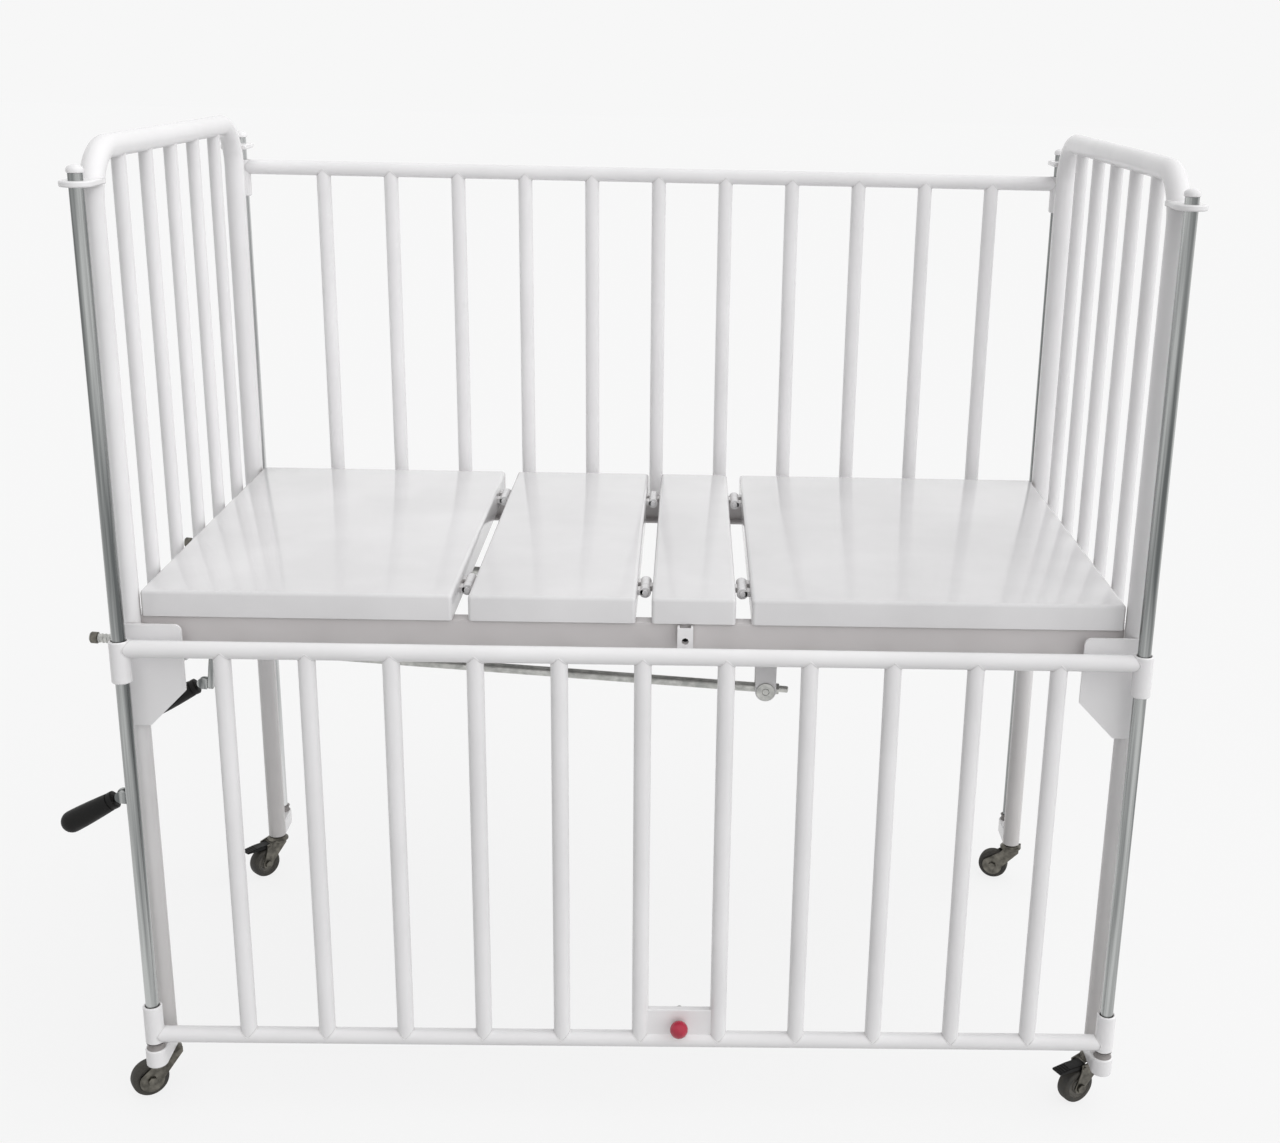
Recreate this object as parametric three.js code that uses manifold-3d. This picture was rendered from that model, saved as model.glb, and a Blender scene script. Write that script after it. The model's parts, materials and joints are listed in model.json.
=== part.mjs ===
// Pediatric hospital cot: two bent-tube ends on casters, two sliding side rails on guide rods, and a
// four-panel steel deck whose back and knee sections are raised by crank screws at the foot end.
// Millimetres, +X towards the head end, +Y towards the rear side, +Z up, floor at zero.
import * as THREE from "three";
import { mergeVertices } from "three/addons/utils/BufferGeometryUtils.js";
import Module from "manifold-3d";

const wasm = await Module();
wasm.setup();

// Clearances
const GAP = 0.3; // between pieces that touch
const SLIDE_FIT = 0.6; // round a guide rod, a pin or an axle that moves in its hole

// End frames
const POST_SPACING_LONG = 1275;
const POST_SPACING_WIDE = 632;
const END_TUBE_DIA = 28.6;
const END_TUBE_BEND = 63.5;
const END_TUBE_TOP = 1258;
const LEG_BOTTOM = 67;
const END_BAR_DIA = 18;
const END_BAR_COUNT = 5;
const END_CROSS_DIA = 19;
const END_CROSS_DROP = 54; // lower cross tube below the deck's top

// Guide rods and their lugs
const ROD_DIA = 17;
const ROD_OUTSET = 46; // from the post's centre line to the rod's
const UPPER_LUG_DROP = 39; // underside below the end tube's top run
const UPPER_LUG_THICK = 7;
const UPPER_LUG_WIDTH = 38;
const LOWER_LUG_TALL = 25; // up from the leg's lower end
const LOWER_LUG_WIDTH = 28;
const LOWER_LUG_FLOOR = 6; // under the rod's end
const ROD_STICKOUT = 9; // above the upper lug, inside the cap
const CAP_DIA = 20;
const CAP_TALL = 18;
const BUFFER_DIA = 24;
const BUFFER_WAIST = 2; // how far its middle is drawn in

// Side rails
const RAIL_LOW = 112.5; // lower tube's centre line with the rail lowered
const RAIL_TOP_CLEARANCE = 17.5; // raised rail's sleeves below the upper lugs
const RAIL_TOP_DIA = 22;
const RAIL_BOTTOM_DIA = 22;
const RAIL_BAR_DIA = 22;
const RAIL_BAR_COUNT = 11;
const RAIL_FOOT_GAP = 125.5; // first bar from the foot-end rods
const RAIL_HEAD_GAP = 105.5; // last bar from the head-end rods
const SLEEVE_DIA = 25;
const SLEEVE_LONG = 55;

// Rail latch
const LATCH_BAY = 6; // the plate lies between this bar, counted from the foot end, and the next
const LATCH_PLATE_TALL = 36; // above the lower tube
const LATCH_PLATE_THICK = 10;
const LATCH_PIN_ABOVE = 16; // pin above the lower tube
const LATCH_PIN_DROP = 18.2; // pin below the side member's top, with the rail raised
const LATCH_PIN_DIA = 8;
const LATCH_PIN_STEP = 4; // gap between plate and knob
const KNOB_DIA = 24;
const STRIKER_WIDE = 20;
const STRIKER_TALL = 28;
const STRIKER_DEEP = 17;
const STRIKER_SHEET = 3;
const STRIKER_BITE = 8; // how far the pin passes the striker's face
const STRIKER_BELOW_PIN = 11;

// Bed frame
const SIDE_TALL = 42;
const SIDE_DEEP = 22;
const SIDE_SHEET = 3;
const SIDE_INSET = 2; // side member's outer face inside the posts' centre line
const GUSSET_LONG = 69; // from the post's centre line
const GUSSET_TALL = 136;
const GUSSET_SHEET = 4;
const GUSSET_DROP = 5; // upper edge below the side member's top
const GUSSET_STRAIGHT = 88; // down the free edge, to the slanting cut
const GUSSET_FOOT = 22; // width left at the lower end
const GUSSET_ROUND = 9;
const CROSS_WIDE = 20;
const CROSS_WALL = 2;
const END_CROSS_INSET = 40; // foot and head cross members, from the posts' centre line

// Deck
const DECK_TOP = 722;
const DECK_OVERHANG = 2; // sides past the posts' centre line
const DECK_FLANGE = 34;
const DECK_SHEET = 2;
const DECK_ROUND = 6; // outside radius of the folded edge
const DECK_END_CLEARANCE = 1.2; // from the posts
const BACK_HINGE_X = 136;
const THIGH_HINGE_X = 9;
const KNEE_HINGE_X = -222.5;
const HINGE_HALF_GAP = 10;
const HINGE_INSET = 98; // hinges from the deck's sides
const HINGE_PIN_DIA = 8;
const KNUCKLE_DIA = 15;
const KNUCKLE_LONG = 16;

// Crank screws
const SCREW_INSET = 100; // screws from the posts' centre line, across the cot
const SCREW_PIVOT_INSET = 22; // swivel block, from the foot posts' centre line
const SCREW_PIVOT_DROP = 108; // swivel block below the deck's top
const SPINDLE_DIA = 13;
const SPINDLE_TIP_DIA = 9;
const SPINDLE_TIP = 31; // past the trunnion
const SPINDLE_TAIL = 111; // past the swivel block, at the foot end
const LEVER_ARM_X = 35; // trunnion from the hinge line, along the cot
const LEVER_ARM_Z = 142; // trunnion below the hinge line
const LEVER_WIDE = 28;
const LEVER_SHEET = 5;
const TRUNNION_DIA = 24;
const TRUNNION_LONG = 18;
const PIVOT_PIN_DIA = 10;
const BLOCK_LONG = 26;
const BLOCK_SIZE = 46;
const HANGER_SHEET = 5;
const HANGER_WIDE = 26;
const NUT_CLEARANCE = 7.4; // round the spindle in the crank's hub
const HUB_WALL = 4;
const HUB_FLANGE = 4;
const HUB_FLANGE_DIA = 42;

// Cranks
const CRANK_STANDOFF = 56; // arm from the swivel block's pivot
const CRANK_ARM = 226;
const CRANK_BAR_WIDE = 18;
const CRANK_BAR_THICK = 8;
const BACKREST_CRANK_DEG = 1; // arm from straight down, towards the front
const KNEE_CRANK_DEG = 6;
const GRIP_DROOP_DEG = 33;
const GRIP_DIA = 26;
const GRIP_LONG = 86;
const GRIP_PIN_DIA = 9;
const GRIP_START = 10; // grip from its fold pivot
const GRIP_EDGE = 3;
const EAR_SHEET = 4;
const EAR_EYE = 9; // width of the eye between the ears
const EAR_OUT = 9; // fold pivot from the arm's face

// Casters
const WHEEL_DIA = 50;
const WHEEL_WIDE = 19;
const AXLE_DIA = 8;
const CASTER_TRAIL = 28;
const CASTER_HEAD_DIA = 36;
const CASTER_HEAD_TALL = 9;
const CASTER_STEM_DIA = 10;
const CASTER_STEM_LONG = 32;
const CASTER_EDGE = 3; // rounding of the swivel head and of the tyre
const FORK_SHEET = 2.5;
const FORK_WIDE = 18;
const RIM_DEEP = 8; // tyre and rim, in from the tread
const WHEEL_DISH = 3; // how far the wheel's web lies inside its face
const WHEEL_HUB_WALL = 5;
const PEDAL_REACH = 36; // past the axle
const PEDAL_THICK = 7;
const PEDAL_PIN_DIA = 4;
const PEDAL_PIN_SETBACK = 5; // from the pedal's root, which clears the swivel head
const PEDAL_OFF_WHEEL = 1.5;
const BRAKED_CORNERS = ["front_head", "rear_foot"];
const CASTER_TURNS_DEG = { front_foot: 214, front_head: 208, rear_foot: 225, rear_head: 160 };

// Facets round a full turn
const TUBE_SIDES = 12;
const BAR_SIDES = 8;
const PIN_SIDES = 8;
const WHEEL_SIDES = 14;
const BEND_STEPS = 5;

// Sizes worked out from the driving sizes
const postX = POST_SPACING_LONG / 2;
const postY = POST_SPACING_WIDE / 2;
const rodY = postY + ROD_OUTSET;
const postRadius = END_TUBE_DIA / 2;
const lowerLugTop = LEG_BOTTOM + LOWER_LUG_TALL;
const upperLugLow = END_TUBE_TOP - UPPER_LUG_DROP;
const upperLugTop = upperLugLow + UPPER_LUG_THICK;
const endCrossZ = DECK_TOP - END_CROSS_DROP;
const sideTop = DECK_TOP - DECK_FLANGE - GAP;
const sideY = postY - SIDE_INSET;
const hingeZ = DECK_TOP - DECK_FLANGE / 2;
const deckHalf = postY + DECK_OVERHANG;
const hingeY = deckHalf - HINGE_INSET;
const deckEnd = postX - postRadius - DECK_END_CLEARANCE;
const barPitch = (POST_SPACING_LONG - RAIL_FOOT_GAP - RAIL_HEAD_GAP) / (RAIL_BAR_COUNT - 1);
const firstBarX = RAIL_FOOT_GAP - postX;
const latchPlateX = firstBarX + (LATCH_BAY - 1) * barPitch;
const latchX = latchPlateX + barPitch / 2;
const latchZ = RAIL_BOTTOM_DIA / 2 + LATCH_PIN_ABOVE; // above the lower tube's centre line
const railTravel = sideTop - LATCH_PIN_DROP - latchZ - RAIL_LOW;
const railRaisedTop = upperLugLow - RAIL_TOP_CLEARANCE - RAIL_TOP_DIA / 2;
const railHeight = railRaisedTop - railTravel - RAIL_LOW; // between the two tubes' centre lines
const screwPivotX = SCREW_PIVOT_INSET - postX;
const screwY = postY - SCREW_INSET;
const screwPivotZ = DECK_TOP - SCREW_PIVOT_DROP;
const hubBore = SPINDLE_DIA + 2 * NUT_CLEARANCE;
const hubDia = hubBore + 2 * HUB_WALL;

const enamel = { color: "#eeeeec", roughness: 0.35, metalness: 0 };
const chrome = { color: "#c9cbcb", roughness: 0.15, metalness: 1 };
const zinc = { color: "#8f908c", roughness: 0.4, metalness: 0.9 };
const rubber = { color: "#242423", roughness: 0.7, metalness: 0 };
const blackPlastic = { color: "#191918", roughness: 0.45, metalness: 0 };
const redPlastic = { color: "#a3172c", roughness: 0.25, metalness: 0 };
const wheelGrey = { color: "#3d3c3a", roughness: 0.6, metalness: 0 };

const cot = new THREE.Group();

// Adds a finished geometry to the cot as a named sub-part.
function add(name, geometry, finish) {
  const mesh = new THREE.Mesh(geometry, new THREE.MeshStandardMaterial(finish));
  mesh.name = name;
  cot.add(mesh);
  return mesh;
}

function solid(geometry) {
  const bare = geometry.clone();
  bare.deleteAttribute("normal");
  bare.deleteAttribute("uv");
  const merged = mergeVertices(bare, 1e-4);
  const vertProperties = new Float32Array(merged.attributes.position.array);
  const triVerts = new Uint32Array(merged.index.array);
  return new wasm.Manifold(new wasm.Mesh({ numProp: 3, vertProperties, triVerts }));
}

function geometryOf(body) {
  const made = body.getMesh();
  const geometry = new THREE.BufferGeometry();
  geometry.setAttribute("position", new THREE.BufferAttribute(made.vertProperties, 3));
  geometry.setIndex(new THREE.BufferAttribute(made.triVerts, 1));
  geometry.computeVertexNormals();
  return geometry;
}

function fuse(pieces) {
  return geometryOf(pieces.map(solid).reduce((whole, piece) => whole.add(piece)));
}

function cut(base, tools) {
  return geometryOf(tools.map(solid).reduce((left, tool) => left.subtract(tool), solid(base)));
}

// A round bar between two points.
function bar(from, to, dia, sides = BAR_SIDES) {
  const start = new THREE.Vector3(...from);
  const along = new THREE.Vector3(...to).sub(start);
  const geometry = new THREE.CylinderGeometry(dia / 2, dia / 2, along.length(), sides);
  const turn = new THREE.Quaternion();
  turn.setFromUnitVectors(new THREE.Vector3(0, 1, 0), along.clone().normalize());
  geometry.applyQuaternion(turn);
  const middle = start.addScaledVector(along, 0.5);
  return geometry.translate(middle.x, middle.y, middle.z);
}

// Diameter of a faceted bore whose flats still clear a round of this diameter.
function clearing(dia, sides) {
  return dia / Math.cos(Math.PI / sides);
}

// A block between two opposite corners.
function block(low, high) {
  const size = low.map((value, i) => high[i] - value);
  const geometry = new THREE.BoxGeometry(...size);
  return geometry.translate(...low.map((value, i) => value + size[i] / 2));
}

// A plate whose outline is drawn in X and Z, with its thickness along Y about a middle plane.
function uprightPlate(shape, thick, middleY, curveSegments = 4) {
  const geometry = new THREE.ExtrudeGeometry(shape, { depth: thick, bevelEnabled: false, curveSegments });
  return geometry.rotateX(Math.PI / 2).translate(0, middleY + thick / 2, 0);
}

// A plate whose outline is drawn in X and Y, standing on a level.
function flatPlate(shape, thick, level, curveSegments = 5) {
  const geometry = new THREE.ExtrudeGeometry(shape, { depth: thick, bevelEnabled: false, curveSegments });
  return geometry.translate(0, 0, level);
}

// A profile drawn in Y and Z, drawn out along X.
function longProfile(shape, fromX, toX, curveSegments = 4) {
  const depth = toX - fromX;
  const geometry = new THREE.ExtrudeGeometry(shape, { depth, bevelEnabled: false, curveSegments });
  const turn = new THREE.Matrix4().makeBasis(
    new THREE.Vector3(0, 1, 0),
    new THREE.Vector3(0, 0, 1),
    new THREE.Vector3(1, 0, 0),
  );
  return geometry.applyMatrix4(turn).translate(fromX, 0, 0);
}

function polygon(points) {
  return new THREE.Shape(points.map(([x, y]) => new THREE.Vector2(x, y)));
}

function circlePoints(dia, sides) {
  const turn = (2 * Math.PI) / sides;
  return Array.from({ length: sides }, (_, i) => [
    (dia / 2) * Math.cos((i + 0.5) * turn),
    (dia / 2) * Math.sin((i + 0.5) * turn),
  ]);
}

// An outline with one round end at the origin, running along +Y to a square end.
function tongue(width, reach) {
  const shape = new THREE.Shape();
  shape.absarc(0, 0, width / 2, Math.PI, 2 * Math.PI, false);
  shape.lineTo(width / 2, reach);
  shape.lineTo(-width / 2, reach);
  shape.closePath();
  return shape;
}

// A body turned about the Z axis from a list of radius and height pairs.
function turned(profile, sides = TUBE_SIDES) {
  return new THREE.LatheGeometry(
    profile.map(([radius, height]) => new THREE.Vector2(radius, height)),
    sides,
  );
}

// Lathe bodies stand along Y in three.js, so this stands one up along Z.
function turnedUpright(profile) {
  return turned(profile).rotateX(Math.PI / 2);
}

// A centre line with rounded corners, sampled only where it bends.
class BentLine extends THREE.Curve {
  constructor(corners, radius, steps) {
    super();
    const points = corners.map((corner) => new THREE.Vector3(...corner));
    this.stations = [this.station(points[0], points[1].clone().sub(points[0]))];
    for (let i = 1; i < points.length - 1; i += 1) {
      this.bend(points[i - 1], points[i], points[i + 1], radius, steps);
    }
    const last = points.at(-1);
    this.stations.push(this.station(last, last.clone().sub(points.at(-2))));
  }

  station(point, direction) {
    return { point: point.clone(), tangent: direction.clone().normalize() };
  }

  // Adds the stations of one right-angled bend.
  bend(before, corner, after, radius, steps) {
    const into = corner.clone().sub(before).normalize();
    const out = after.clone().sub(corner).normalize();
    const centre = corner.clone().addScaledVector(into, -radius).addScaledVector(out, radius);
    for (let i = 0; i <= steps; i += 1) {
      const angle = (i / steps) * (Math.PI / 2);
      const tangent = into.clone().multiplyScalar(Math.cos(angle)).addScaledVector(out, Math.sin(angle));
      const point = centre.clone().addScaledVector(into, radius * Math.sin(angle));
      point.addScaledVector(out, -radius * Math.cos(angle));
      this.stations.push(this.station(point, tangent));
    }
  }

  get steps() {
    return this.stations.length - 1;
  }

  getPointAt(u) {
    return this.stations[Math.round(u * this.steps)].point.clone();
  }

  getTangentAt(u) {
    return this.stations[Math.round(u * this.steps)].tangent.clone();
  }
}

// End frames
const endTubeLine = new BentLine(
  [
    [0, -postY, LEG_BOTTOM],
    [0, -postY, END_TUBE_TOP],
    [0, postY, END_TUBE_TOP],
    [0, postY, LEG_BOTTOM],
  ],
  END_TUBE_BEND,
  BEND_STEPS,
);

function endTube() {
  const tube = new THREE.ExtrudeGeometry(polygon(circlePoints(END_TUBE_DIA, TUBE_SIDES)), {
    steps: endTubeLine.steps,
    extrudePath: endTubeLine,
  });
  const pieces = [tube];
  const holes = [];
  for (const side of [-1, 1]) {
    const place = (geometry) => geometry.rotateZ(side > 0 ? Math.PI : 0).translate(0, side * rodY, 0);
    pieces.push(place(flatPlate(tongue(UPPER_LUG_WIDTH, ROD_OUTSET), UPPER_LUG_THICK, upperLugLow)));
    pieces.push(place(flatPlate(tongue(LOWER_LUG_WIDTH, ROD_OUTSET), LOWER_LUG_TALL, LEG_BOTTOM)));
    const hole = ROD_DIA + 2 * GAP;
    const rodFoot = LEG_BOTTOM + LOWER_LUG_FLOOR - GAP;
    holes.push(bar([0, side * rodY, rodFoot], [0, side * rodY, END_TUBE_TOP], hole, TUBE_SIDES));
    const socket = CASTER_STEM_DIA + 2 * SLIDE_FIT;
    const socketTop = LEG_BOTTOM + CASTER_STEM_LONG + GAP;
    holes.push(bar([0, side * postY, 0], [0, side * postY, socketTop], socket, PIN_SIDES));
  }
  return cut(fuse(pieces), holes);
}

function endGrille() {
  const pitch = POST_SPACING_WIDE / (END_BAR_COUNT + 1);
  const cross = bar([0, -postY, endCrossZ], [0, postY, endCrossZ], END_CROSS_DIA, TUBE_SIDES);
  const pieces = [cross];
  for (let i = 1; i <= END_BAR_COUNT; i += 1) {
    const y = i * pitch - postY;
    pieces.push(bar([0, y, endCrossZ], [0, y, END_TUBE_TOP], END_BAR_DIA));
  }
  const around = clearing(END_TUBE_DIA, TUBE_SIDES) + 2 * GAP;
  const tools = [bar([0, -postY, END_TUBE_TOP], [0, postY, END_TUBE_TOP], around, TUBE_SIDES)];
  for (const side of [-1, 1]) {
    tools.push(bar([0, side * postY, LEG_BOTTOM], [0, side * postY, END_TUBE_TOP], around, TUBE_SIDES));
  }
  return cut(fuse(pieces), tools);
}

function guideRod() {
  const foot = LEG_BOTTOM + LOWER_LUG_FLOOR;
  return bar([0, 0, foot], [0, 0, upperLugTop + ROD_STICKOUT], ROD_DIA, TUBE_SIDES);
}

function rodCap() {
  const radius = CAP_DIA / 2;
  const bore = ROD_DIA / 2 + GAP;
  const low = upperLugTop + GAP;
  const roof = upperLugTop + ROD_STICKOUT + GAP;
  const shoulder = low + CAP_TALL - radius / 2;
  const profile = [[0, roof], [bore, roof], [bore, low], [radius, low], [radius, shoulder]];
  for (const angle of [30, 60]) {
    const lean = THREE.MathUtils.degToRad(angle);
    profile.push([radius * Math.cos(lean), shoulder + (radius / 2) * Math.sin(lean)]);
  }
  profile.push([0, low + CAP_TALL]);
  return profile;
}

function buffer() {
  const bore = ROD_DIA / 2 + GAP;
  const radius = BUFFER_DIA / 2;
  const low = lowerLugTop + GAP;
  const high = RAIL_LOW - RAIL_BOTTOM_DIA / 2 - GAP;
  const waist = radius - BUFFER_WAIST;
  const middle = (low + high) / 2;
  return [[bore, low], [radius, low], [waist, middle], [radius, high], [bore, high], [bore, low]];
}

for (const [end, endName] of [[-1, "foot"], [1, "head"]]) {
  add(`${endName}_end_tube`, endTube(), enamel).position.x = end * postX;
  add(`${endName}_end_grille`, endGrille(), enamel).position.x = end * postX;
  for (const [side, sideName] of [[-1, "front"], [1, "rear"]]) {
    const corner = `${sideName}_${endName}`;
    const pieces = [
      add(`${corner}_guide_rod`, guideRod(), chrome),
      add(`${corner}_rod_cap`, turnedUpright(rodCap()), enamel),
      add(`${corner}_rail_buffer`, turnedUpright(buffer()), rubber),
    ];
    pieces.forEach((piece) => piece.position.set(end * postX, side * rodY, 0));
  }
}

// Side rails, drawn with the lower tube's centre line at zero height
function sideRail() {
  const pieces = [
    bar([-postX, 0, 0], [postX, 0, 0], RAIL_BOTTOM_DIA, TUBE_SIDES),
    bar([-postX, 0, railHeight], [postX, 0, railHeight], RAIL_TOP_DIA, TUBE_SIDES),
  ];
  for (let i = 0; i < RAIL_BAR_COUNT; i += 1) {
    const x = firstBarX + i * barPitch;
    pieces.push(bar([x, 0, 0], [x, 0, railHeight], RAIL_BAR_DIA));
  }
  const low = -RAIL_BOTTOM_DIA / 2;
  const high = railHeight + RAIL_TOP_DIA / 2;
  const holes = [];
  for (const x of [-postX, postX]) {
    pieces.push(bar([x, 0, low], [x, 0, low + SLEEVE_LONG], SLEEVE_DIA, TUBE_SIDES));
    pieces.push(bar([x, 0, high - SLEEVE_LONG], [x, 0, high], SLEEVE_DIA, TUBE_SIDES));
    holes.push(bar([x, 0, 2 * low], [x, 0, high + SLEEVE_LONG], ROD_DIA + 2 * SLIDE_FIT, TUBE_SIDES));
  }
  const half = LATCH_PLATE_THICK / 2;
  const plateTop = RAIL_BOTTOM_DIA / 2 + LATCH_PLATE_TALL;
  pieces.push(block([latchPlateX, -half, 0], [latchPlateX + barPitch, half, plateTop]));
  const pinHole = LATCH_PIN_DIA + 2 * SLIDE_FIT;
  holes.push(bar([latchX, -SLEEVE_DIA, latchZ], [latchX, SLEEVE_DIA, latchZ], pinHole, PIN_SIDES));
  return cut(fuse(pieces), holes);
}

// The knob stands outside the rail and its pin reaches in, past the striker's face when the rail is up.
function latchKnob(side) {
  const strikerFace = sideY + STRIKER_DEEP;
  const tip = side * (strikerFace - STRIKER_BITE - rodY);
  const ball = side * (LATCH_PLATE_THICK / 2 + LATCH_PIN_STEP + KNOB_DIA / 2);
  const pin = bar([latchX, tip, latchZ], [latchX, ball, latchZ], LATCH_PIN_DIA, PIN_SIDES);
  const knob = new THREE.SphereGeometry(KNOB_DIA / 2, TUBE_SIDES, BAR_SIDES).rotateX(Math.PI / 2);
  return fuse([pin, knob.translate(latchX, ball, latchZ)]);
}

function striker(side) {
  const pinHeight = sideTop - LATCH_PIN_DROP;
  const low = pinHeight - STRIKER_BELOW_PIN;
  const back = sideY + GAP;
  const face = sideY + STRIKER_DEEP;
  const half = STRIKER_WIDE / 2;
  const inside = half - STRIKER_SHEET;
  const web = polygon([
    [-half, back],
    [-inside, back],
    [-inside, face - STRIKER_SHEET],
    [inside, face - STRIKER_SHEET],
    [inside, back],
    [half, back],
    [half, face],
    [-half, face],
  ]);
  const channel = flatPlate(web, STRIKER_TALL, low).rotateZ(side > 0 ? 0 : Math.PI);
  channel.translate(latchX, 0, 0);
  const pinHole = LATCH_PIN_DIA + 2 * SLIDE_FIT;
  const inner = [latchX, side * (face - 2 * STRIKER_SHEET), pinHeight];
  const outer = [latchX, side * (face + STRIKER_SHEET), pinHeight];
  return cut(channel, [bar(inner, outer, pinHole, PIN_SIDES)]);
}

for (const [side, sideName, lift] of [[-1, "front", 0], [1, "rear", railTravel]]) {
  add(`${sideName}_side_rail`, sideRail(), enamel).position.set(0, side * rodY, RAIL_LOW + lift);
  add(`${sideName}_latch_knob`, latchKnob(side), redPlastic).position.set(0, side * rodY, RAIL_LOW + lift);
  add(`${sideName}_latch_striker`, striker(side), enamel);
}

// Bed frame
function gussetOutline() {
  const drop = GUSSET_LONG - GUSSET_FOOT;
  const shape = new THREE.Shape();
  shape.moveTo(0, 0);
  shape.lineTo(0, -GUSSET_TALL);
  shape.lineTo(GUSSET_FOOT, -GUSSET_TALL);
  shape.lineTo(GUSSET_FOOT + drop, -GUSSET_STRAIGHT);
  shape.lineTo(GUSSET_LONG, -GUSSET_ROUND);
  shape.absarc(GUSSET_LONG - GUSSET_ROUND, -GUSSET_ROUND, GUSSET_ROUND, 0, Math.PI / 2, false);
  shape.closePath();
  return shape;
}

// The block that fills the space between a side member and the gusset plate on the post's outer side.
function packing(place, memberY, plateY) {
  const near = place * (postX - postRadius - GAP);
  const far = place * (postX - GUSSET_LONG + GUSSET_ROUND);
  const low = sideTop - SIDE_TALL;
  const high = sideTop - GUSSET_DROP - GUSSET_ROUND;
  return block(
    [Math.min(near, far), Math.min(memberY, plateY), low],
    [Math.max(near, far), Math.max(memberY, plateY), high],
  );
}

function sideMember(side) {
  const end = postX - postRadius - GAP;
  const inner = sideY - SIDE_DEEP;
  const low = sideTop - SIDE_TALL;
  const profile = polygon([
    [side * sideY, low],
    [side * sideY, sideTop],
    [side * inner, sideTop],
    [side * inner, sideTop - SIDE_SHEET],
    [side * (sideY - SIDE_SHEET), sideTop - SIDE_SHEET],
    [side * (sideY - SIDE_SHEET), low + SIDE_SHEET],
    [side * inner, low + SIDE_SHEET],
    [side * inner, low],
  ]);
  const pieces = [longProfile(profile, -end, end)];
  const plane = side * (postY + postRadius + GAP + GUSSET_SHEET / 2);
  for (const place of [-1, 1]) {
    const gusset = uprightPlate(gussetOutline(), GUSSET_SHEET, 0).rotateZ(place > 0 ? Math.PI : 0);
    pieces.push(gusset.translate(place * postX, plane, sideTop - GUSSET_DROP));
    pieces.push(packing(place, side * (sideY - SIDE_SHEET), plane));
  }
  return fuse(pieces);
}

function crossMember(x) {
  const half = CROSS_WIDE / 2;
  const low = sideTop - SIDE_TALL;
  const wall = CROSS_WALL;
  const reach = sideY - SIDE_DEEP - GAP;
  const outline = polygon([[-half, low], [half, low], [half, sideTop], [-half, sideTop]]);
  const bore = polygon([
    [wall - half, low + wall],
    [half - wall, low + wall],
    [half - wall, sideTop - wall],
    [wall - half, sideTop - wall],
  ]);
  outline.holes.push(bore);
  return uprightPlate(outline, 2 * reach, 0).translate(x, 0, 0);
}

// Two hanging plates for each screw carry the pins of its swivel block.
function footCrossMember() {
  const x = END_CROSS_INSET - postX;
  const pieces = [crossMember(x)];
  const holes = [];
  const hole = PIVOT_PIN_DIA + 2 * SLIDE_FIT;
  const edge = BLOCK_SIZE / 2 + SLIDE_FIT + HANGER_SHEET / 2;
  for (const side of [-1, 1]) {
    for (const face of [-1, 1]) {
      const y = side * screwY + face * edge;
      const plate = new THREE.Shape();
      const half = HANGER_WIDE / 2;
      plate.absarc(screwPivotX, screwPivotZ, half, Math.PI, 2 * Math.PI, false);
      plate.lineTo(screwPivotX + half, screwPivotZ + half);
      plate.lineTo(x + CROSS_WIDE / 2, sideTop - SIDE_TALL);
      plate.lineTo(x + CROSS_WIDE / 2, sideTop - SIDE_TALL + CROSS_WALL);
      plate.lineTo(x - CROSS_WIDE / 2, sideTop - SIDE_TALL + CROSS_WALL);
      plate.lineTo(x - CROSS_WIDE / 2, sideTop - SIDE_TALL);
      plate.lineTo(screwPivotX - half, screwPivotZ + half);
      plate.closePath();
      pieces.push(uprightPlate(plate, HANGER_SHEET, y));
      const from = [screwPivotX, y - HANGER_SHEET, screwPivotZ];
      const to = [screwPivotX, y + HANGER_SHEET, screwPivotZ];
      holes.push(bar(from, to, hole, PIN_SIDES));
    }
  }
  return cut(fuse(pieces), holes);
}

add("front_side_member", sideMember(-1), enamel);
add("rear_side_member", sideMember(1), enamel);
add("foot_cross_member", footCrossMember(), enamel);
add("seat_cross_member", crossMember((BACK_HINGE_X + THIGH_HINGE_X) / 2), enamel);
add("head_cross_member", crossMember(postX - END_CROSS_INSET), enamel);

// Deck panels: folded sheet with a flange on all four sides
function panOutline() {
  const half = deckHalf;
  const shape = new THREE.Shape();
  shape.moveTo(-half, DECK_TOP - DECK_FLANGE);
  shape.lineTo(half, DECK_TOP - DECK_FLANGE);
  shape.lineTo(half, DECK_TOP - DECK_ROUND);
  shape.absarc(half - DECK_ROUND, DECK_TOP - DECK_ROUND, DECK_ROUND, 0, Math.PI / 2, false);
  shape.absarc(DECK_ROUND - half, DECK_TOP - DECK_ROUND, DECK_ROUND, Math.PI / 2, Math.PI, false);
  shape.closePath();
  return shape;
}

function pan(fromX, toX) {
  const half = deckHalf - DECK_SHEET;
  const low = DECK_TOP - DECK_FLANGE;
  const inside = block(
    [fromX + DECK_SHEET, -half, low - DECK_FLANGE],
    [toX - DECK_SHEET, half, DECK_TOP - DECK_SHEET],
  );
  return cut(longProfile(panOutline(), fromX, toX), [inside]);
}

// Hinge knuckles on one panel: the eyes carry a bore, the forks carry the pin.
function knuckleBar(x, y, long, dia) {
  return bar([x, y - long / 2, hingeZ], [x, y + long / 2, hingeZ], dia, PIN_SIDES);
}

function knuckleTab(x, toX, y, long) {
  const half = KNUCKLE_DIA / 4;
  const low = [Math.min(x, toX), y - long / 2, hingeZ - half];
  const high = [Math.max(x, toX), y + long / 2, hingeZ + half];
  return block(low, high);
}

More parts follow.
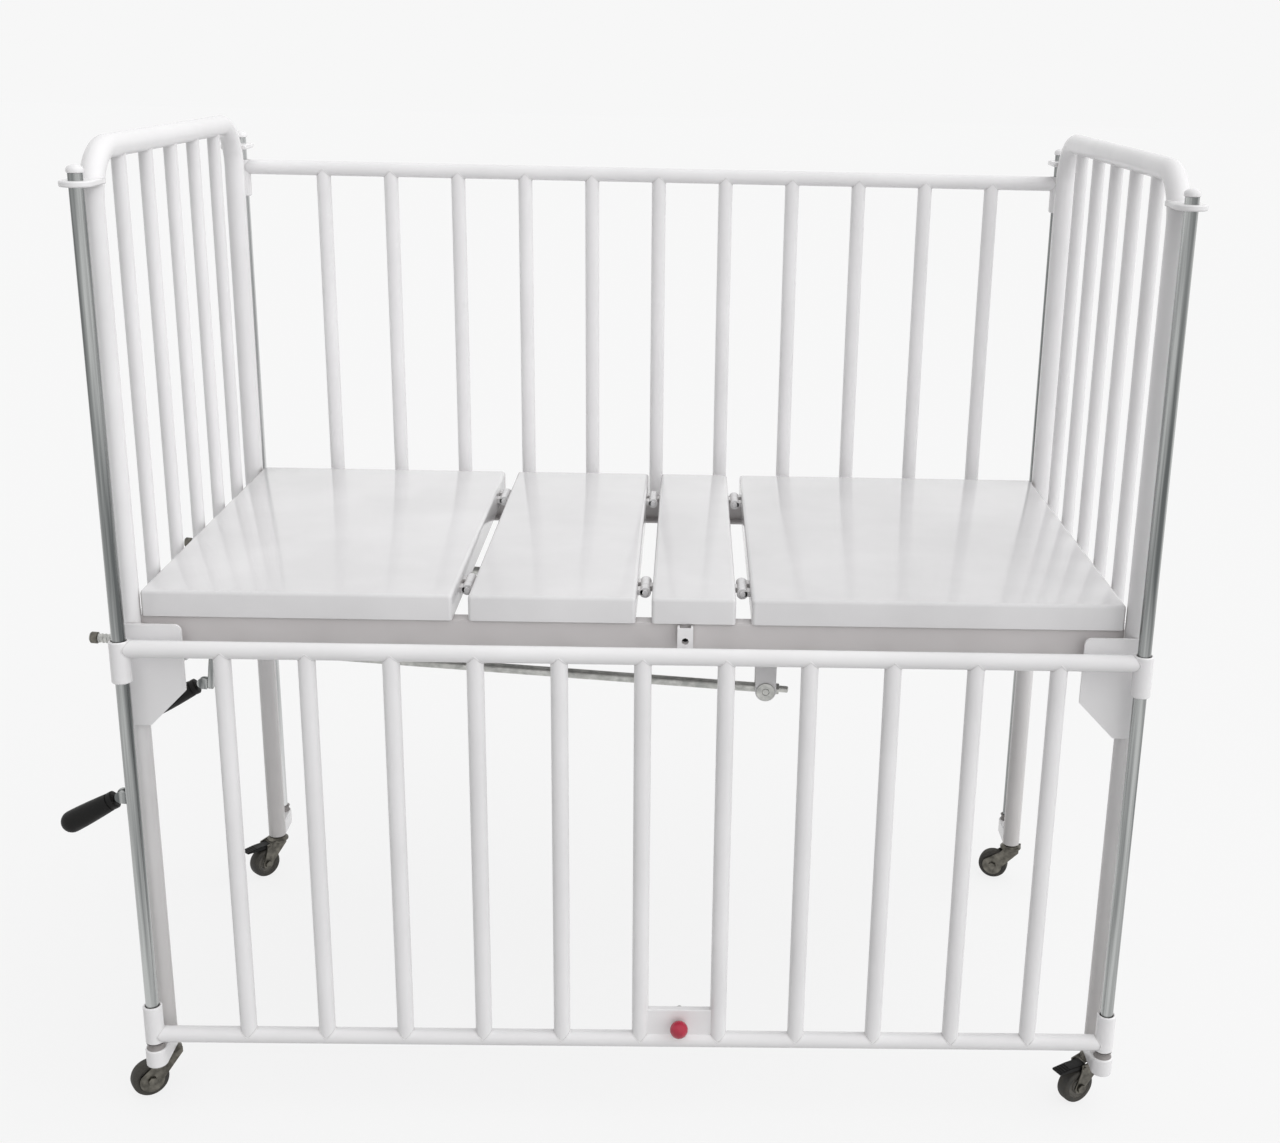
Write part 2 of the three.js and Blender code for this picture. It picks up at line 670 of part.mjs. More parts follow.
function hingeEyes(x, towards) {
  const edge = x + towards * (HINGE_HALF_GAP + DECK_SHEET / 2);
  const pieces = [];
  const holes = [];
  for (const y of [-hingeY, hingeY]) {
    pieces.push(knuckleBar(x, y, KNUCKLE_LONG, KNUCKLE_DIA));
    pieces.push(knuckleTab(x, edge, y, KNUCKLE_LONG));
    holes.push(knuckleBar(x, y, 2 * KNUCKLE_LONG, HINGE_PIN_DIA + 2 * SLIDE_FIT));
  }
  return { pieces, holes };
}

function hingeForks(x, towards) {
  const edge = x + towards * (HINGE_HALF_GAP + DECK_SHEET / 2);
  const step = KNUCKLE_LONG + SLIDE_FIT;
  const pieces = [];
  for (const y of [-hingeY, hingeY]) {
    pieces.push(knuckleBar(x, y, 3 * KNUCKLE_LONG, HINGE_PIN_DIA));
    for (const face of [-1, 1]) {
      pieces.push(knuckleBar(x, y + face * step, KNUCKLE_LONG, KNUCKLE_DIA));
      pieces.push(knuckleTab(x, edge, y + face * step, KNUCKLE_LONG));
    }
  }
  return pieces;
}

// Two lever plates under a panel straddle the trunnion of its screw.
function lever(hingeX, towards, side) {
  const x = hingeX + towards * LEVER_ARM_X;
  const z = hingeZ - LEVER_ARM_Z;
  const edge = TRUNNION_LONG / 2 + SLIDE_FIT + LEVER_SHEET / 2;
  const pieces = [];
  const holes = [];
  for (const face of [-1, 1]) {
    const y = side * screwY + face * edge;
    const plate = tongue(LEVER_WIDE, DECK_TOP - DECK_SHEET / 2 - z);
    pieces.push(uprightPlate(plate, LEVER_SHEET, y).translate(x, 0, z));
    const hole = PIVOT_PIN_DIA + 2 * SLIDE_FIT;
    holes.push(bar([x, y - LEVER_SHEET, z], [x, y + LEVER_SHEET, z], hole, PIN_SIDES));
  }
  return { pieces, holes };
}

function backrestPanel() {
  const arm = lever(BACK_HINGE_X, 1, -1);
  const sheet = pan(BACK_HINGE_X + HINGE_HALF_GAP, deckEnd);
  return cut(fuse([sheet, ...hingeForks(BACK_HINGE_X, 1), ...arm.pieces]), arm.holes);
}

function seatPanel() {
  const sheet = pan(THIGH_HINGE_X + HINGE_HALF_GAP, BACK_HINGE_X - HINGE_HALF_GAP);
  const back = hingeEyes(BACK_HINGE_X, -1);
  const thigh = hingeEyes(THIGH_HINGE_X, 1);
  return cut(fuse([sheet, ...back.pieces, ...thigh.pieces]), [...back.holes, ...thigh.holes]);
}

function thighPanel() {
  const arm = lever(THIGH_HINGE_X, -1, 1);
  const knee = hingeEyes(KNEE_HINGE_X, 1);
  const sheet = pan(KNEE_HINGE_X + HINGE_HALF_GAP, THIGH_HINGE_X - HINGE_HALF_GAP);
  const forks = hingeForks(THIGH_HINGE_X, -1);
  return cut(fuse([sheet, ...forks, ...knee.pieces, ...arm.pieces]), [...arm.holes, ...knee.holes]);
}

function legPanel() {
  return fuse([pan(-deckEnd, KNEE_HINGE_X - HINGE_HALF_GAP), ...hingeForks(KNEE_HINGE_X, -1)]);
}

add("backrest_panel", backrestPanel(), enamel);
add("seat_panel", seatPanel(), enamel);
add("thigh_panel", thighPanel(), enamel);
add("leg_panel", legPanel(), enamel);

// Crank screws. Each is drawn along +X from its swivel pivot, then tilted to meet its lever.
function spindle(reach) {
  const half = TRUNNION_LONG / 2;
  const pinEnd = half + SLIDE_FIT + LEVER_SHEET + HINGE_PIN_DIA / 4;
  return fuse([
    bar([-SPINDLE_TAIL, 0, 0], [reach, 0, 0], SPINDLE_DIA, TUBE_SIDES),
    bar([reach, 0, 0], [reach + SPINDLE_TIP, 0, 0], SPINDLE_TIP_DIA, PIN_SIDES),
    bar([reach, -half, 0], [reach, half, 0], TRUNNION_DIA, TUBE_SIDES),
    bar([reach, -pinEnd, 0], [reach, pinEnd, 0], PIVOT_PIN_DIA, PIN_SIDES),
  ]);
}

function swivelBlock() {
  const half = BLOCK_SIZE / 2;
  const pinEnd = half + SLIDE_FIT + HANGER_SHEET + HINGE_PIN_DIA / 4;
  const body = fuse([
    block([-BLOCK_LONG / 2, -half, -half], [BLOCK_LONG / 2, half, half]),
    bar([0, -pinEnd, 0], [0, pinEnd, 0], PIVOT_PIN_DIA, PIN_SIDES),
  ]);
  const bore = clearing(hubDia, TUBE_SIDES) + 2 * SLIDE_FIT;
  return cut(body, [bar([-BLOCK_LONG, 0, 0], [BLOCK_LONG, 0, 0], bore, TUBE_SIDES)]);
}

// The crank's hub turns in the swivel block, and its arm hangs along -Z until it is swung.
function crank() {
  const armFace = -CRANK_STANDOFF - CRANK_BAR_THICK;
  const flange = BLOCK_LONG / 2 + SLIDE_FIT;
  const hub = bar([armFace, 0, 0], [flange + HUB_FLANGE, 0, 0], hubDia, TUBE_SIDES);
  const inner = bar([flange, 0, 0], [flange + HUB_FLANGE, 0, 0], HUB_FLANGE_DIA, TUBE_SIDES);
  const outer = bar([-flange - HUB_FLANGE, 0, 0], [-flange, 0, 0], HUB_FLANGE_DIA, TUBE_SIDES);
  const half = CRANK_BAR_WIDE / 2;
  const outline = new THREE.Shape();
  outline.absarc(0, -CRANK_ARM, half, Math.PI, 2 * Math.PI, false);
  outline.absarc(0, 0, hubDia / 2, Math.PI / 6, (5 * Math.PI) / 6, false);
  outline.closePath();
  const armBar = longProfile(outline, armFace, -CRANK_STANDOFF, 6);
  const pieces = [hub, inner, outer, armBar];
  const pivot = armFace - EAR_OUT;
  const earRound = GRIP_PIN_DIA / 2 + EAR_SHEET;
  for (const face of [-1, 1]) {
    const y = face * (EAR_EYE / 2 + GAP + EAR_SHEET / 2);
    const ear = tongue(2 * earRound, EAR_OUT + GAP);
    const plate = uprightPlate(ear, EAR_SHEET, y, 4).rotateY(Math.PI / 2);
    pieces.push(plate.translate(pivot, 0, -CRANK_ARM));
  }
  const axis = [[pivot, -CRANK_BAR_WIDE, -CRANK_ARM], [pivot, CRANK_BAR_WIDE, -CRANK_ARM]];
  const bore = bar([2 * armFace, 0, 0], [2 * flange, 0, 0], hubBore, TUBE_SIDES);
  return cut(fuse(pieces), [bore, bar(...axis, EAR_EYE / 2 + 2 * SLIDE_FIT, PIN_SIDES)]);
}

// Drawn along -X from the fold pivot at the origin.
function gripPin() {
  const end = GRIP_START + GRIP_LONG - GRIP_DIA / 2;
  const eye = EAR_EYE / 2;
  const reach = CRANK_BAR_WIDE / 2;
  return fuse([
    bar([0, -eye, 0], [0, eye, 0], GRIP_PIN_DIA + EAR_SHEET, BAR_SIDES),
    bar([0, -reach, 0], [0, reach, 0], EAR_EYE / 2, PIN_SIDES),
    bar([0, 0, 0], [-end, 0, 0], GRIP_PIN_DIA, BAR_SIDES),
  ]);
}

function grip() {
  const radius = GRIP_DIA / 2;
  const bore = GRIP_PIN_DIA / 2 + GAP;
  const far = GRIP_START + GRIP_LONG;
  const boreEnd = far - radius + GAP;
  const profile = [[0, -boreEnd], [bore, -boreEnd], [bore, -GRIP_START]];
  profile.push([radius - GRIP_EDGE, -GRIP_START], [radius, -GRIP_START - GRIP_EDGE]);
  profile.push([radius, -far + radius]);
  for (const angle of [30, 60]) {
    const lean = THREE.MathUtils.degToRad(angle);
    profile.push([radius * Math.cos(lean), -far + radius - radius * Math.sin(lean)]);
  }
  profile.push([0, -far]);
  const geometry = turned(profile.reverse(), TUBE_SIDES);
  return geometry.rotateZ(-Math.PI / 2);
}

function crankScrew(name, side, hingeX, towards, swing) {
  const trunnionX = hingeX + towards * LEVER_ARM_X;
  const trunnionZ = hingeZ - LEVER_ARM_Z;
  const run = trunnionX - screwPivotX;
  const drop = screwPivotZ - trunnionZ;
  const reach = Math.hypot(run, drop);
  const screw = new THREE.Group();
  screw.position.set(screwPivotX, side * screwY, screwPivotZ);
  screw.rotation.y = Math.atan2(drop, run);
  const turning = new THREE.Group();
  turning.rotation.x = -THREE.MathUtils.degToRad(swing);
  const folding = new THREE.Group();
  folding.position.set(-CRANK_STANDOFF - CRANK_BAR_THICK - EAR_OUT, 0, -CRANK_ARM);
  folding.rotation.y = -THREE.MathUtils.degToRad(GRIP_DROOP_DEG);
  cot.add(screw);
  screw.add(add(`${name}_spindle`, spindle(reach), zinc));
  screw.add(add(`${name}_swivel_block`, swivelBlock(), zinc));
  screw.add(turning);
  turning.add(add(`${name}_crank`, crank(), chrome));
  turning.add(folding);
  folding.add(add(`${name}_crank_grip_pin`, gripPin(), chrome));
  folding.add(add(`${name}_crank_grip`, grip(), blackPlastic));
}

crankScrew("backrest", -1, BACK_HINGE_X, 1, BACKREST_CRANK_DEG);
crankScrew("knee", 1, THIGH_HINGE_X, -1, KNEE_CRANK_DEG);

// Casters, drawn about the stem with the wheel trailing along +X
const axleHeight = WHEEL_DIA / 2;
const headLow = LEG_BOTTOM - GAP - CASTER_HEAD_TALL;
const pedalStart = CASTER_HEAD_DIA / 2 + SLIDE_FIT;
const pedalPinX = pedalStart + PEDAL_PIN_SETBACK;
const pedalLow = WHEEL_DIA + PEDAL_OFF_WHEEL;
const pedalPinZ = pedalLow + PEDAL_THICK / 2;

// A braked fork reaches further back, to carry the pin of its pedal.
function casterFork(braked) {
  const innerY = WHEEL_WIDE / 2 + SLIDE_FIT;
  const radius = CASTER_HEAD_DIA / 2;
  const crown = headLow + CASTER_HEAD_TALL;
  const shoulder = crown - CASTER_EDGE;
  const head = [[0, headLow], [radius, headLow], [radius, shoulder]];
  head.push([radius - CASTER_EDGE, crown], [0, crown]);
  const pieces = [
    turnedUpright(head),
    bar([0, 0, headLow], [0, 0, LEG_BOTTOM + CASTER_STEM_LONG], CASTER_STEM_DIA, PIN_SIDES),
  ];
  const half = FORK_WIDE / 2;
  const nose = pedalPinX + PEDAL_PIN_DIA;
  const cheek = new THREE.Shape();
  cheek.moveTo(-half, shoulder);
  cheek.lineTo(-half, headLow - CASTER_EDGE);
  cheek.absarc(CASTER_TRAIL, axleHeight, half, Math.PI, 2 * Math.PI, false);
  if (braked) {
    cheek.lineTo(nose, pedalLow);
    cheek.lineTo(nose, pedalPinZ + PEDAL_PIN_DIA);
  }
  cheek.lineTo(half, shoulder);
  cheek.closePath();
  for (const face of [-1, 1]) {
    pieces.push(uprightPlate(cheek, FORK_SHEET, face * (innerY + FORK_SHEET / 2), 3));
  }
  const end = innerY + 2 * FORK_SHEET;
  pieces.push(bar([CASTER_TRAIL, -end, axleHeight], [CASTER_TRAIL, end, axleHeight], AXLE_DIA, PIN_SIDES));
  if (braked) {
    pieces.push(bar([pedalPinX, -end, pedalPinZ], [pedalPinX, end, pedalPinZ], PEDAL_PIN_DIA, PIN_SIDES));
  }
  return fuse(pieces);
}

// One face of the wheel from the bore out to the tread, then the same face mirrored.
function casterWheel() {
  const bore = AXLE_DIA / 2 + SLIDE_FIT;
  const radius = WHEEL_DIA / 2;
  const half = WHEEL_WIDE / 2;
  const face = [
    [bore, half],
    [bore + WHEEL_HUB_WALL, half],
    [bore + WHEEL_HUB_WALL, half - WHEEL_DISH],
    [radius - RIM_DEEP, half - WHEEL_DISH],
    [radius - RIM_DEEP, half],
    [radius - CASTER_EDGE, half],
    [radius, half - CASTER_EDGE],
  ];
  const other = face.map(([r, y]) => [r, -y]);
  return turned([...other, ...face.reverse(), other[0]], WHEEL_SIDES);
}

function brakePedal() {
  const tip = CASTER_TRAIL + PEDAL_REACH;
  const width = WHEEL_WIDE - 2 * SLIDE_FIT;
  const top = pedalLow + PEDAL_THICK;
  const side = polygon([
    [pedalStart, pedalLow],
    [CASTER_TRAIL + PEDAL_THICK, pedalLow],
    [tip, pedalLow - PEDAL_THICK],
    [tip, pedalLow - PEDAL_THICK / 2],
    [CASTER_TRAIL + 2 * PEDAL_THICK, top],
    [pedalStart, top],
  ]);
  const bore = PEDAL_PIN_DIA + 2 * SLIDE_FIT;
  const pin = bar([pedalPinX, -width, pedalPinZ], [pedalPinX, width, pedalPinZ], bore, PIN_SIDES);
  return cut(uprightPlate(side, width, 0), [pin]);
}

for (const [end, endName] of [[-1, "foot"], [1, "head"]]) {
  for (const [side, sideName] of [[-1, "front"], [1, "rear"]]) {
    const corner = `${sideName}_${endName}`;
    const braked = BRAKED_CORNERS.includes(corner);
    const caster = new THREE.Group();
    caster.position.set(end * postX, side * postY, 0);
    caster.rotation.z = THREE.MathUtils.degToRad(CASTER_TURNS_DEG[corner]);
    cot.add(caster);
    caster.add(add(`${corner}_caster_fork`, casterFork(braked), zinc));
    const wheel = add(`${corner}_caster_wheel`, casterWheel(), wheelGrey);
    wheel.position.set(CASTER_TRAIL, 0, axleHeight);
    caster.add(wheel);
    if (braked) {
      caster.add(add(`${corner}_brake_pedal`, brakePedal(), blackPlastic));
    }
  }
}

// The origin is on the floor, under the middle of the whole cot.
cot.updateMatrixWorld(true);
const middle = new THREE.Box3().setFromObject(cot, true).getCenter(new THREE.Vector3());
cot.children.forEach((child) => child.position.sub(new THREE.Vector3(middle.x, middle.y, 0)));

export default cot;
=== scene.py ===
import json
import math

import bmesh
import bpy
from mathutils import Matrix, Vector


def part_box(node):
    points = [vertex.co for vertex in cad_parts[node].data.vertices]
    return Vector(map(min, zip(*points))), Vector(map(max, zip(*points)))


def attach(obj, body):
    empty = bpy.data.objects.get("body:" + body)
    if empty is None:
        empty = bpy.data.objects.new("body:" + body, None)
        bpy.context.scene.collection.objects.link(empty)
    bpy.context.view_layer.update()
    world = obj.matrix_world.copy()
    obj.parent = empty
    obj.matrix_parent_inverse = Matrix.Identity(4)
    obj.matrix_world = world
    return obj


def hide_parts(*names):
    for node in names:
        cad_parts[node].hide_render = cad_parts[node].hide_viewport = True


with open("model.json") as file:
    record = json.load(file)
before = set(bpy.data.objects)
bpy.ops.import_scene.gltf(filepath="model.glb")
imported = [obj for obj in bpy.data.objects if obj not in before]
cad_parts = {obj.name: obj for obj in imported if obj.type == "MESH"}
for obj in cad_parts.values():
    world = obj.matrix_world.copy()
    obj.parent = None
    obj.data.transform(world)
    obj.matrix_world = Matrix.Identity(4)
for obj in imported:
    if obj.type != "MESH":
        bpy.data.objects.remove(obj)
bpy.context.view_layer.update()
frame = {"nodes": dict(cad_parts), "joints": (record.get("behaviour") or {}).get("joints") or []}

joints = {joint["name"]: joint for joint in frame["joints"]}

# Sizes in metres: the play between moving pieces, and the weld beads
MM = 0.001
PLAY = 0.3 * MM
BEAD = 0.7 * MM
BEAD_SIDES = 10

# End frames
END_TUBE_RADIUS = 14.3 * MM
END_BEND = 63.5 * MM
END_BEND_STEPS = 14
END_BAR_RADIUS = 9 * MM
END_BAR_COUNT = 5
END_CROSS_RADIUS = 9.5 * MM
ROD_OUTSET = 46 * MM
UPPER_LUG_WIDTH = 38 * MM
UPPER_LUG_THICK = 7 * MM
LOWER_LUG_WIDTH = 28 * MM
LOWER_LUG_TALL = 25 * MM
LUG_EDGE = 1.6 * MM
# The height at which the legs' painted shade has faded out
LEG_SHADE_TOP = 0.75
CHANNEL_FACE = 316 * MM
GUSSET_FACE = 328 * MM
CAP_SINK = 0.2 * MM
CAP_EDGE = 1 * MM
CAP_SKIRT_SHARE = 0.35
BUFFER_WAIST = 1.8 * MM
# The buffers end below the weld beads of a lowered rail.
WELD_CLEAR = 0.7 * MM

# Side rails and latches
RAIL_TOP_RADIUS = 11 * MM
RAIL_BOTTOM_RADIUS = 11 * MM
RAIL_BAR_RADIUS = 11 * MM
RAIL_BAR_COUNT = 11
RAIL_FOOT_GAP = 125.5 * MM
RAIL_HEAD_GAP = 105.5 * MM
RAIL_EDGE = 1.2 * MM
SLEEVE_RADIUS = 12.5 * MM
SLEEVE_BORE = 9.1 * MM
SLEEVE_LONG = 55 * MM
SLEEVE_EDGE = 1.5 * MM
LATCH_BAY = 6
LATCH_PLATE_TALL = 36 * MM
LATCH_PLATE_THICK = 10 * MM
LATCH_PIN_RADIUS = 4 * MM
# The pin's bullet-nosed end stops in the striker's plate.
LATCH_PIN_CUT = 4.6 * MM
LATCH_PIN_NOSE = 2.6 * MM
KNOB_RADIUS = 12 * MM
KNOB_NECK_RADIUS = 5 * MM
KNOB_NECK_LONG = 1.2 * MM
PAD_RADIUS = 6 * MM
PAD_DISH_RADIUS = 2.5 * MM
PAD_THICK = 1.6 * MM

# Deck
DECK_FLANGE = 34 * MM
DECK_SHEET = 2 * MM
DECK_FOLD = 5 * MM
DECK_EDGE = 0.5 * MM
HINGE_GAP = 20 * MM
HINGE_INSET = 98 * MM
HINGE_PIN_RADIUS = 4 * MM
HINGE_PIN_OUT = 3 * MM
KNUCKLE_RADIUS = 7.5 * MM
KNUCKLE_LONG = 16 * MM
KNUCKLE_PLAY = 0.6 * MM
LEVER_WIDE = 28 * MM
LEVER_SHEET = 5 * MM
LEVER_SPREAD = 12.1 * MM

# Crank screws
SPINDLE_RADIUS = 6.5 * MM
SPINDLE_TIP_RADIUS = 4.5 * MM
SPINDLE_TIP = 31 * MM
SPINDLE_TAIL = 111 * MM
THREAD_PITCH = 5 * MM
THREAD_DEEP = 0.9 * MM
THREAD_LONG = 240 * MM
THREAD_ROWS_PER_TURN = 6
THREAD_SIDES = 16
TIP_NUT_RADIUS = 8.2 * MM
TIP_NUT_THICK = 6 * MM
TIP_NUT_PLACE = 12.5 * MM
TAIL_COLLAR_RADIUS = 7.8 * MM
TAIL_COLLAR_LONG = 10 * MM
TRUNNION_RADIUS = 12 * MM
TRUNNION_LONG = 18 * MM
PIVOT_PIN_RADIUS = 5 * MM
PIVOT_PIN_OUT = 2 * MM
WASHER_RADIUS = 12.5 * MM
WASHER_THICK = 1.5 * MM
HUB_RADIUS = 17.9 * MM
HUB_BORE = 13.9 * MM
HUB_FLANGE_RADIUS = 21 * MM
HUB_FLANGE_SUNK = 0.5 * MM
HUB_FLANGE = 4 * MM
BLOCK_HALF = 13.6 * MM
CRANK_STANDOFF = 56 * MM
CRANK_BAR_WIDE = 18 * MM
CRANK_BAR_THICK = 8 * MM
CRANK_EDGE = 1 * MM
EAR_OUT = 9 * MM
EAR_SHEET = 4 * MM
EAR_EYE = 9 * MM
EYE_WALL = 2 * MM
FOLD_PIN_RADIUS = 2.2 * MM
GRIP_RADIUS = 12.6 * MM
# The grip swells towards its rounded end.
GRIP_END_RADIUS = 15.4 * MM
GRIP_LONG = 86 * MM
GRIP_START = 10 * MM
GRIP_COLLAR = 10.2 * MM
GRIP_GROOVE = 1.2 * MM
GRIP_SWELL_STEPS = 8
GRIP_PIN_RADIUS = 4.5 * MM
GRIP_PIN_SHORT = 13 * MM

# Casters
WHEEL_WIDE = 19 * MM
WHEEL_PLAY = 0.6 * MM
WHEEL_BORE = 4.6 * MM
WHEEL_HUB_WALL = 5 * MM
TYRE_DEEP = 8 * MM
CASTER_TRAIL = 28 * MM
CASTER_HEAD_RADIUS = 18 * MM
CASTER_HEAD_TALL = 9 * MM
STEM_RADIUS = 5 * MM
STEM_LONG = 30 * MM
AXLE_RADIUS = 4 * MM
AXLE_NUT_RADIUS = 6.5 * MM
AXLE_NUT_THICK = 4 * MM
FORK_SHEET = 2.5 * MM
FORK_WIDE = 18 * MM
FORK_HOOD = 8 * MM
FORK_EDGE = 0.5 * MM
PEDAL_REACH = 36 * MM
PEDAL_THICK = 7 * MM
PEDAL_TIP_THICK = 3 * MM
PEDAL_DROP = 0.3 * PEDAL_THICK
PEDAL_EDGE = 1 * MM
PEDAL_ROOT = 18.6 * MM
PEDAL_PIN = 23.6 * MM
PEDAL_PIN_RADIUS = 2.6 * MM
PEDAL_PIN_OUT = 3 * MM
PEDAL_EYE = 4 * MM
RIB_COUNT = 4
RIB_RADIUS = 0.9 * MM
RIB_SHARE = 0.42

CORNERS = ["front_foot", "front_head", "rear_foot", "rear_head"]
BRAKED = ["front_head", "rear_foot"]
SIDES = ["front", "rear"]


def middle(name):
    low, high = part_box(name)
    return (low + high) / 2


def joint_point(name):
    return Vector(joints[name]["pos_m"])


def joint_axis(name):
    return Vector(joints[name]["axis"]).normalized()


# Places taken from the frame
rods = {corner: middle(f"{corner}_guide_rod") for corner in CORNERS}
foot_x = rods["front_foot"].x
head_x = rods["front_head"].x
middle_x = (foot_x + head_x) / 2
rod_y = rods["rear_foot"].y
post_y = rod_y - ROD_OUTSET
leg_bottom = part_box("foot_end_tube")[0].z
end_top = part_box("foot_end_tube")[1].z - END_TUBE_RADIUS
upper_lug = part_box("front_foot_rod_cap")[0].z - UPPER_LUG_THICK
end_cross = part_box("foot_end_grille")[0].z + END_CROSS_RADIUS
deck_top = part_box("seat_panel")[1].z
X = Vector((1, 0, 0))
Y = Vector((0, 1, 0))
Z = Vector((0, 0, 1))


# Finishes
def linear(hex_colour):
    channels = [int(hex_colour[i : i + 2], 16) / 255 for i in (1, 3, 5)]
    return [c / 12.92 if c <= 0.04045 else ((c + 0.055) / 1.055) ** 2.4 for c in channels] + [1.0]


def node(tree, kind, inputs=None, stops=(), **settings):
    """Adds a node, sets its own settings and a ramp's stops, and sets or links its inputs."""
    made = tree.nodes.new(kind)
    for name, value in settings.items():
        setattr(made, name, value)
    for i, (position, colour) in enumerate(stops):
        made.color_ramp.elements[i].position = position
        made.color_ramp.elements[i].color = linear(colour)
    for name, value in (inputs or {}).items():
        if isinstance(value, bpy.types.NodeSocket):
            tree.links.new(value, made.inputs[name])
        else:
            made.inputs[name].default_value = value
    return made


def per_size(millimetres):
    """The scale at which a noise has features of about this size."""
    return 1 / (millimetres * MM)


def new_finish(name):
    material = bpy.data.materials.new(name)
    material.use_nodes = True
    tree = material.node_tree
    shader = tree.nodes["Principled BSDF"]
    place = node(tree, "ShaderNodeTexCoord").outputs["Object"]
    return material, tree, shader, place


def stove_enamel(name, dark, light, bright, dull, grey=None):
    """Enamel, sprayed on steel and baked: glossy, with a faint orange peel, a little darker in patches,
    and duller where hands and cloths rub it. Its colour is greyer in corners, as painted shade. It can also
    fade from a grey, as painted shade, along an axis of the cot, between two distances from the middle or
    the floor."""
    material, tree, shader, place = new_finish(name)
    noise = {"Vector": place, "Scale": per_size(160), "Detail": 4.0}
    patches = node(tree, "ShaderNodeTexNoise", noise).outputs["Fac"]
    tone = node(tree, "ShaderNodeValToRGB", {"Fac": patches}, [(0.32, dark), (0.68, light)])
    # Painted shade: the colour greys where ambient occlusion finds a corner.
    corner = node(tree, "ShaderNodeAmbientOcclusion", {"Distance": 10 * MM}, samples=8).outputs["AO"]
    painted_corner_shade = node(tree, "ShaderNodeValToRGB", {"Fac": corner}, [(0.15, "#cfccca"), (0.75, "#ffffff")])
    layers = [painted_corner_shade]
    if grey:
        axis, start, end, shade = grey
        along = node(tree, "ShaderNodeSeparateXYZ", {"Vector": place}).outputs[axis]
        far = node(tree, "ShaderNodeMath", {0: along}, operation="ABSOLUTE").outputs[0]
        reach = {"Value": far, "From Min": start, "From Max": end}
        share = node(tree, "ShaderNodeMapRange", reach).outputs["Result"]
        layers.append(node(tree, "ShaderNodeValToRGB", {"Fac": share}, [(0.0, shade), (1.0, "#ffffff")]))
    colour = tone.outputs["Color"]
    for layer in layers:
        pair = {0: 1.0, 6: colour, 7: layer.outputs["Color"]}
        colour = node(tree, "ShaderNodeMix", pair, data_type="RGBA", blend_type="MULTIPLY").outputs[2]
    tree.links.new(colour, shader.inputs["Base Color"])
    noise = {"Vector": place, "Scale": per_size(60), "Detail": 4.0}
    rubbed = node(tree, "ShaderNodeTexNoise", noise).outputs["Fac"]
    wear = {"Value": rubbed, "From Min": 0.3, "From Max": 0.7, "To Min": bright, "To Max": dull}
    gloss = node(tree, "ShaderNodeMapRange", wear)
    tree.links.new(gloss.outputs["Result"], shader.inputs["Roughness"])
    # A real orange peel of about 2 mm is too fine for the picture, so it is drawn at 6 mm.
    noise = {"Vector": place, "Scale": per_size(6), "Detail": 1.0}
    peel = node(tree, "ShaderNodeTexNoise", noise).outputs["Fac"]
    bump = node(tree, "ShaderNodeBump", {"Height": peel, "Strength": 0.025, "Distance": 0.2 * MM})
    tree.links.new(bump.outputs["Normal"], shader.inputs["Normal"])
    shader.inputs["IOR"].default_value = 1.52
    return material


def chrome_plate(name, dark, light):
    """Chrome on drawn steel: a near mirror whose colour has dark and light streaks along its length, which
    are painted reflections of dark surroundings, and fine scratches where the sleeves slide."""
    material, tree, shader, place = new_finish(name)
    shader.inputs["Metallic"].default_value = 1.0
    stretch = {"Vector": place, "Scale": (1.0, 1.0, 0.02)}
    lengthwise = node(tree, "ShaderNodeMapping", stretch).outputs["Vector"]
    noise = {"Vector": lengthwise, "Scale": per_size(9), "Detail": 3.0}
    streaks = node(tree, "ShaderNodeTexNoise", noise).outputs["Fac"]
    # Painted reflection: dark and light streaks along the length, set into the colour.
    tone = node(tree, "ShaderNodeValToRGB", {"Fac": streaks}, [(0.36, dark), (0.66, light)])
    tree.links.new(tone.outputs["Color"], shader.inputs["Base Color"])
    # Scratches are drawn 1.5 mm wide, as coarse as the picture needs.
    noise = {"Vector": lengthwise, "Scale": per_size(1.5)}
    lines = node(tree, "ShaderNodeTexNoise", noise).outputs["Fac"]
    wear = {"Value": lines, "From Min": 0.35, "From Max": 0.7, "To Min": 0.14, "To Max": 0.26}
    gloss = node(tree, "ShaderNodeMapRange", wear)
    tree.links.new(gloss.outputs["Result"], shader.inputs["Roughness"])
    return material


def zinc_plate(name, dark, light):
    """Zinc on pressed or turned steel: grey, half dull, mottled where the plating has clouded."""
    material, tree, shader, place = new_finish(name)
    shader.inputs["Metallic"].default_value = 1.0
    noise = {"Vector": place, "Scale": per_size(9), "Detail": 5.0}
    cloud = node(tree, "ShaderNodeTexNoise", noise).outputs["Fac"]
    tone = node(tree, "ShaderNodeValToRGB", {"Fac": cloud}, [(0.3, dark), (0.7, light)])
    tree.links.new(tone.outputs["Color"], shader.inputs["Base Color"])
    haze = {"Value": cloud, "From Min": 0.3, "From Max": 0.7, "To Min": 0.5, "To Max": 0.32}
    gloss = node(tree, "ShaderNodeMapRange", haze)
    tree.links.new(gloss.outputs["Result"], shader.inputs["Roughness"])
    noise = {"Vector": place, "Scale": per_size(2), "Detail": 2.0}
    grain = node(tree, "ShaderNodeTexNoise", noise).outputs["Fac"]
    bump = node(tree, "ShaderNodeBump", {"Height": grain, "Strength": 0.12, "Distance": 0.15 * MM})
    tree.links.new(bump.outputs["Normal"], shader.inputs["Normal"])
    return material


